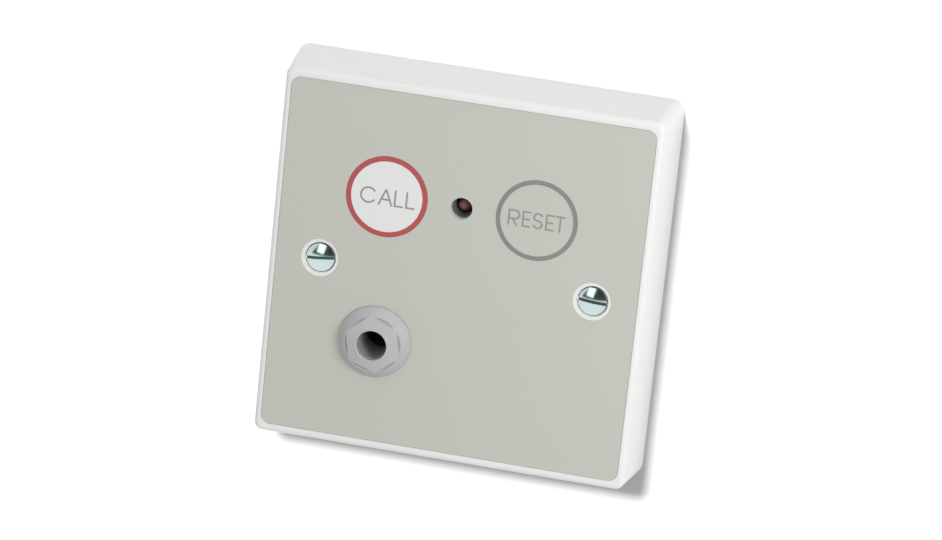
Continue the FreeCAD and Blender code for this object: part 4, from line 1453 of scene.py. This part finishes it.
@dataclass
class BoardParts:
    """The moulded parts on the board and the socket, with the small radii of real mouldings."""

    radii: tuple[tuple[str, str, str, Finish, float], ...] = (
        ("control_chip", "chip_body", "chip_black", CHIP_EPOXY, 0.12 * MM),
        ("terminal_housing", "terminal_body", "terminal_green", TERMINAL_NYLON, 0.15 * MM),
        ("jack_body", "socket_body", "jack_grey", SOCKET_NYLON, 0.15 * MM),
        ("jack_back_cover", "socket_lid", "jack_grey", SOCKET_NYLON, 0.45 * MM),
        ("terminal_clamps", "terminal_cages", "clamp_brass", CLAMP_NICKEL, 0.10 * MM),
    )
    rounding_steps: int = 2
    stripe_width: float = 1.5 * MM
    stripe_thickness: float = 0.02 * MM
    stripe_foot: float = 1.9 * MM
    stripe_end: float = 0.5 * MM
    can_sides: int = 128
    end_radius: float = 1.9 * MM
    end_depth: float = 0.1 * MM
    end_rise: float = 0.03 * MM
    end_rounding: float = 0.01 * MM
    vent_width: float = 0.25 * MM
    vent_depth: float = 0.02 * MM

    def build(self) -> None:
        """Rounds the mouldings' edges and dresses the metal parts."""
        for node, name, slot, finish, radius in self.radii:
            piece = round_edges(copy_of_node(node, name), radius, self.rounding_steps)
            fit(piece, "plate", slot, finish, node)
        for node in ("jack_tip_contact", "jack_ring_contact", "jack_sleeve_contact", "terminal_pins"):
            dress_node(node, CONTACT_TIN)
        dress_node("terminal_screws", BRIGHT_ZINC)
        self.capacitor()

    def capacitor(self) -> None:
        """Dresses the capacitor's sleeve, its printed stripe and its bare end with the scored vent."""
        dress_node("smoothing_capacitor", CAN_SLEEVE)
        low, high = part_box("smoothing_capacitor")
        centre = middle("smoothing_capacitor")
        top = high.y + self.end_rise
        end = bar("can_end", centre.x, centre.z, self.end_radius, high.y - self.end_depth, top)
        scores = [block("score", centre.x, centre.z, 2 * self.end_radius, self.vent_width,
                        top - self.vent_depth, top + MM, turn) for turn in (math.pi / 4, -math.pi / 4)]
        combine(end, "DIFFERENCE", *scores)
        fit(round_edges(end, self.end_rounding, 1), "plate", "contact_silver", CAN_ALUMINIUM)
        radius = (high.x - low.x) / 2
        stripe = bar("can_stripe", centre.x, centre.z, radius + self.stripe_thickness,
                     low.y + self.stripe_foot, high.y - self.stripe_end, sides=self.can_sides)
        inner = bar("inner", centre.x, centre.z, radius - self.stripe_thickness, low.y, high.y,
                    sides=self.can_sides)
        keep = block("keep", centre.x + radius, centre.z, radius, self.stripe_width, low.y, high.y)
        combine(stripe, "DIFFERENCE", inner)
        combine(stripe, "INTERSECT", keep)
        fit(smooth(stripe), "plate", "can_blue", SLEEVE_STRIPE)


@dataclass
class PushSwitch:
    """One press area's pusher and switch, behind the film."""

    key: str

    def build(self) -> None:
        """Dresses the pusher and the pieces of the switch."""
        for node, finish in (("pusher", PUSHER_ACETAL), ("switch_base", SWITCH_NYLON),
                             ("switch_cover", SWITCH_STEEL), ("switch_dome", SWITCH_STEEL),
                             ("switch_plunger", SWITCH_NYLON), ("switch_leads", CONTACT_TIN)):
            dress_node(f"{self.key}_{node}", finish)


@dataclass(frozen=True)
class Viewpoint:
    """Where the photograph was taken from: a point looked at, two angles, a roll and a distance."""

    target: tuple[float, float, float] = (3.204 * MM, -15.997 * MM, 2.751 * MM)
    azimuth: float = 10.342
    elevation: float = 17.312
    roll: float = 6.078
    distance: float = 947.8 * MM
    lens: float = 168.39
    sensor: float = 36.0
    nearest: float = 0.01
    farthest: float = 20.0

    def build(self) -> None:
        """Makes the camera and sets it as the scene's own."""
        back = direction(self.azimuth, self.elevation)
        camera = placed("camera", bpy.data.cameras.new("camera"))
        camera.data.lens = self.lens
        camera.data.sensor_width = self.sensor
        camera.data.clip_start, camera.data.clip_end = self.nearest, self.farthest
        level = (-back).to_track_quat("-Z", "Y").to_matrix().to_4x4()
        camera.matrix_world = (Matrix.Translation(Vector(self.target) + back * self.distance) @ level
                               @ Matrix.Rotation(math.radians(self.roll), 4, "Z"))
        bpy.context.scene.camera = camera
        log.info("camera at azimuth %.1f and elevation %.1f", self.azimuth, self.elevation)


@dataclass(frozen=True)
class SoftLamp:
    """A rectangular lamp that faces the object, placed by degrees to the right of its front and upwards.

    A share of 1 makes a white surface that faces the lamp render white. The roll is in degrees.
    """

    name: str
    azimuth: float
    elevation: float
    distance: float
    width: float
    height: float
    share: float
    roll: float = 0.0

    def build(self) -> Piece:
        """Makes the lamp and turns it to the object.

        Returns:
            The lamp.
        """
        out = direction(self.azimuth, self.elevation)
        light = bpy.data.lights.new(self.name, "AREA")
        light.shape, light.size, light.size_y = "RECTANGLE", self.width, self.height
        light.energy = self.share * math.pi * math.pi * self.distance ** 2
        lamp = placed(self.name, light)
        lamp.matrix_world = (Matrix.Translation(out * self.distance)
                             @ (-out).to_track_quat("-Z", "Y").to_matrix().to_4x4()
                             @ Matrix.Rotation(math.radians(self.roll), 4, "Z"))
        return lamp


@dataclass(frozen=True)
class StageWhite:
    """The matt white of the wall and the floor, which shows from its front only.

    Seen is how strongly it returns light to the eye, and to gloss and glass. Glow is how much plain white
    is added there, so that only shadows fall below white. Bounced is how brightly it shines on the object,
    where 1 is white.
    """

    name: str
    seen: float
    glow: float
    bounced: float

    def material(self) -> bpy.types.Material:
        """Makes the material.

        Returns:
            The material.
        """
        made = bpy.data.materials.new(self.name)
        tree = blank_tree(made)
        lit = add(tree, "ShaderNodeBsdfDiffuse", {"Color": shade(WHITE, self.seen)})
        plain = add(tree, "ShaderNodeEmission", {"Color": linear(WHITE), "Strength": self.glow})
        to_eye = add(tree, "ShaderNodeAddShader", {0: lit.outputs[0], 1: plain.outputs[0]})
        to_part = add(tree, "ShaderNodeEmission", {"Color": linear(WHITE), "Strength": self.bounced})
        front = add(tree, "ShaderNodeMixShader", {
            0: seen_directly(tree), 1: to_part.outputs[0], 2: to_eye.outputs[0]})
        clear = add(tree, "ShaderNodeBsdfTransparent")
        facing = add(tree, "ShaderNodeNewGeometry").outputs["Backfacing"]
        whole = add(tree, "ShaderNodeMixShader", {0: facing, 1: front.outputs[0], 2: clear.outputs[0]})
        add(tree, "ShaderNodeOutputMaterial", {"Surface": whole.outputs[0]})
        return made


@dataclass
class Studio:
    """A white wall behind the plate, a pale floor below, soft lamps and a soft white surround."""

    wall_size: float = 3.0
    wall_opening: float = 84.0 * MM
    wall_gap: float = 0.02 * MM
    wall_white: StageWhite = StageWhite("wall_white", seen=0.58, glow=0.0, bounced=0.76)
    floor_size: float = 6.0
    floor_height: float = -0.45
    floor_white: StageWhite = StageWhite("floor_white", seen=0.5, glow=0.75, bounced=0.55)
    ambient: float = 0.64
    key: SoftLamp = SoftLamp("key", azimuth=44.0, elevation=14.0, distance=0.45, width=0.17, height=0.17,
                             share=0.47)
    ceiling: SoftLamp = SoftLamp("ceiling", azimuth=20.0, elevation=80.0, distance=0.80, width=0.50,
                                 height=0.50, share=0.10)
    window: SoftLamp = SoftLamp("window", azimuth=-11.4, elevation=7.0, distance=1.10, width=0.34,
                                height=0.50, share=0.077, roll=-12.0)
    rear: SoftLamp = SoftLamp("rear", azimuth=205.0, elevation=35.0, distance=0.90, width=0.50, height=0.50,
                              share=0.45)
    wall_light: SoftLamp = SoftLamp("wall_light", azimuth=-9.6, elevation=22.2, distance=1.2, width=0.18,
                                    height=0.165, share=1.45)
    card_distance: float = 1.75
    card_colour: str = "#3C3F3F"
    card_corners: tuple[Point, ...] = ((-34.0, -9.0), (50.0, -9.0), (50.0, 30.0), (-8.0, 30.0))

    def wall(self) -> Piece:
        """Makes the wall, with an opening behind the plate as over a wall box.

        Returns:
            The wall.
        """
        bpy.ops.mesh.primitive_plane_add(size=self.wall_size, rotation=FACING_ROOM,
                                         location=(0.0, self.wall_gap, 0.0))
        wall = settle(bpy.context.object, "wall")
        with editing(wall):
            bpy.ops.mesh.inset(thickness=(self.wall_size - self.wall_opening) / 2)
            bpy.ops.mesh.delete(type="FACE")
        return wall

    def world(self) -> None:
        """Makes the surround: white to the camera and in reflections, and softer as light."""
        world = bpy.data.worlds.new("surround")
        bpy.context.scene.world = world
        tree = blank_tree(world)
        strength = add(tree, "ShaderNodeMapRange", {
            "Value": seen_directly(tree), "To Min": self.ambient, "To Max": 1.0})
        light = add(tree, "ShaderNodeBackground", {"Color": linear(WHITE), "Strength": strength.outputs[0]})
        add(tree, "ShaderNodeOutputWorld", {"Surface": light.outputs[0]})

    def build(self) -> None:
        """Makes the stage, the lamps and the surround."""
        bpy.context.scene.view_settings.view_transform = "Standard"
        wall = self.wall()
        wall.data.materials.append(self.wall_white.material())
        bpy.ops.mesh.primitive_plane_add(size=self.floor_size, location=(0.0, 0.0, self.floor_height))
        floor = settle(bpy.context.object, "floor")
        floor.data.materials.append(self.floor_white.material())
        self.world()
        key, ceiling = self.key.build(), self.ceiling.build()
        self.window.build()
        self.rear.build()
        wall_light = self.wall_light.build()
        wall_light.visible_glossy = False
        wall_light.light_linking.receiver_collection = self.lit("INCLUDE", wall)
        key.light_linking.receiver_collection = self.lit("EXCLUDE", wall)
        ceiling.light_linking.receiver_collection = key.light_linking.receiver_collection
        self.card()
        log.info("studio ready")

    def lit(self, state: str, *pieces: Piece) -> bpy.types.Collection:
        """Makes the list of objects that a lamp lights alone, or leaves out.

        Args:
            state: INCLUDE or EXCLUDE.
            pieces: the objects.

        Returns:
            The list, as a collection.
        """
        chosen = bpy.data.collections.new(f"lit_{state.lower()}")
        for piece in pieces:
            chosen.objects.link(piece)
        for link in chosen.collection_objects:
            link.light_linking.link_state = state
        return chosen

    def card(self) -> None:
        """Makes the dark card in front that gives the bright metal its dark reflections."""
        corners = [direction(azimuth, elevation) * self.card_distance
                   for azimuth, elevation in self.card_corners]
        card = piece_from("dark_card", corners, faces=[range(len(corners))])
        made = bpy.data.materials.new("dark_card")
        tree = blank_tree(made)
        dark = add(tree, "ShaderNodeEmission", {"Color": linear(self.card_colour), "Strength": 1.0})
        add(tree, "ShaderNodeOutputMaterial", {"Surface": dark.outputs[0]})
        card.data.materials.append(made)
        for ray in ("camera", "diffuse", "transmission", "volume_scatter", "shadow"):
            setattr(card, f"visible_{ray}", False)


def main() -> None:
    """Builds the object's pieces in order, then the studio."""
    logging.basicConfig(level=logging.INFO, format="%(relativeCreated)6d ms  %(message)s")
    FrontPlate().build()
    PrintedOverlay().build()
    Legend("CALL", "call", width=12.0 * MM, lefts=(0.12, 4.02, 7.67, 10.23)).build()
    Legend("RESET", "reset", width=12.7 * MM, lefts=(0.06, 3.16, 5.5, 8.3, 10.4), height=3.6 * MM,
           drop=0.02 * MM).build()
    WallScrew("left_wall_screw", x=-SCREW_SPACING / 2, slot_turn=6.7).build()
    WallScrew("right_wall_screw", x=SCREW_SPACING / 2, slot_turn=-4.0).build()
    SocketNut().build()
    IndicatorLamp().build()
    CircuitBoard().build()
    BoardParts().build()
    for key in ("call", "reset"):
        PushSwitch(key).build()
    Studio().build()
    Viewpoint().build()


if __name__ == "__main__":
    main()
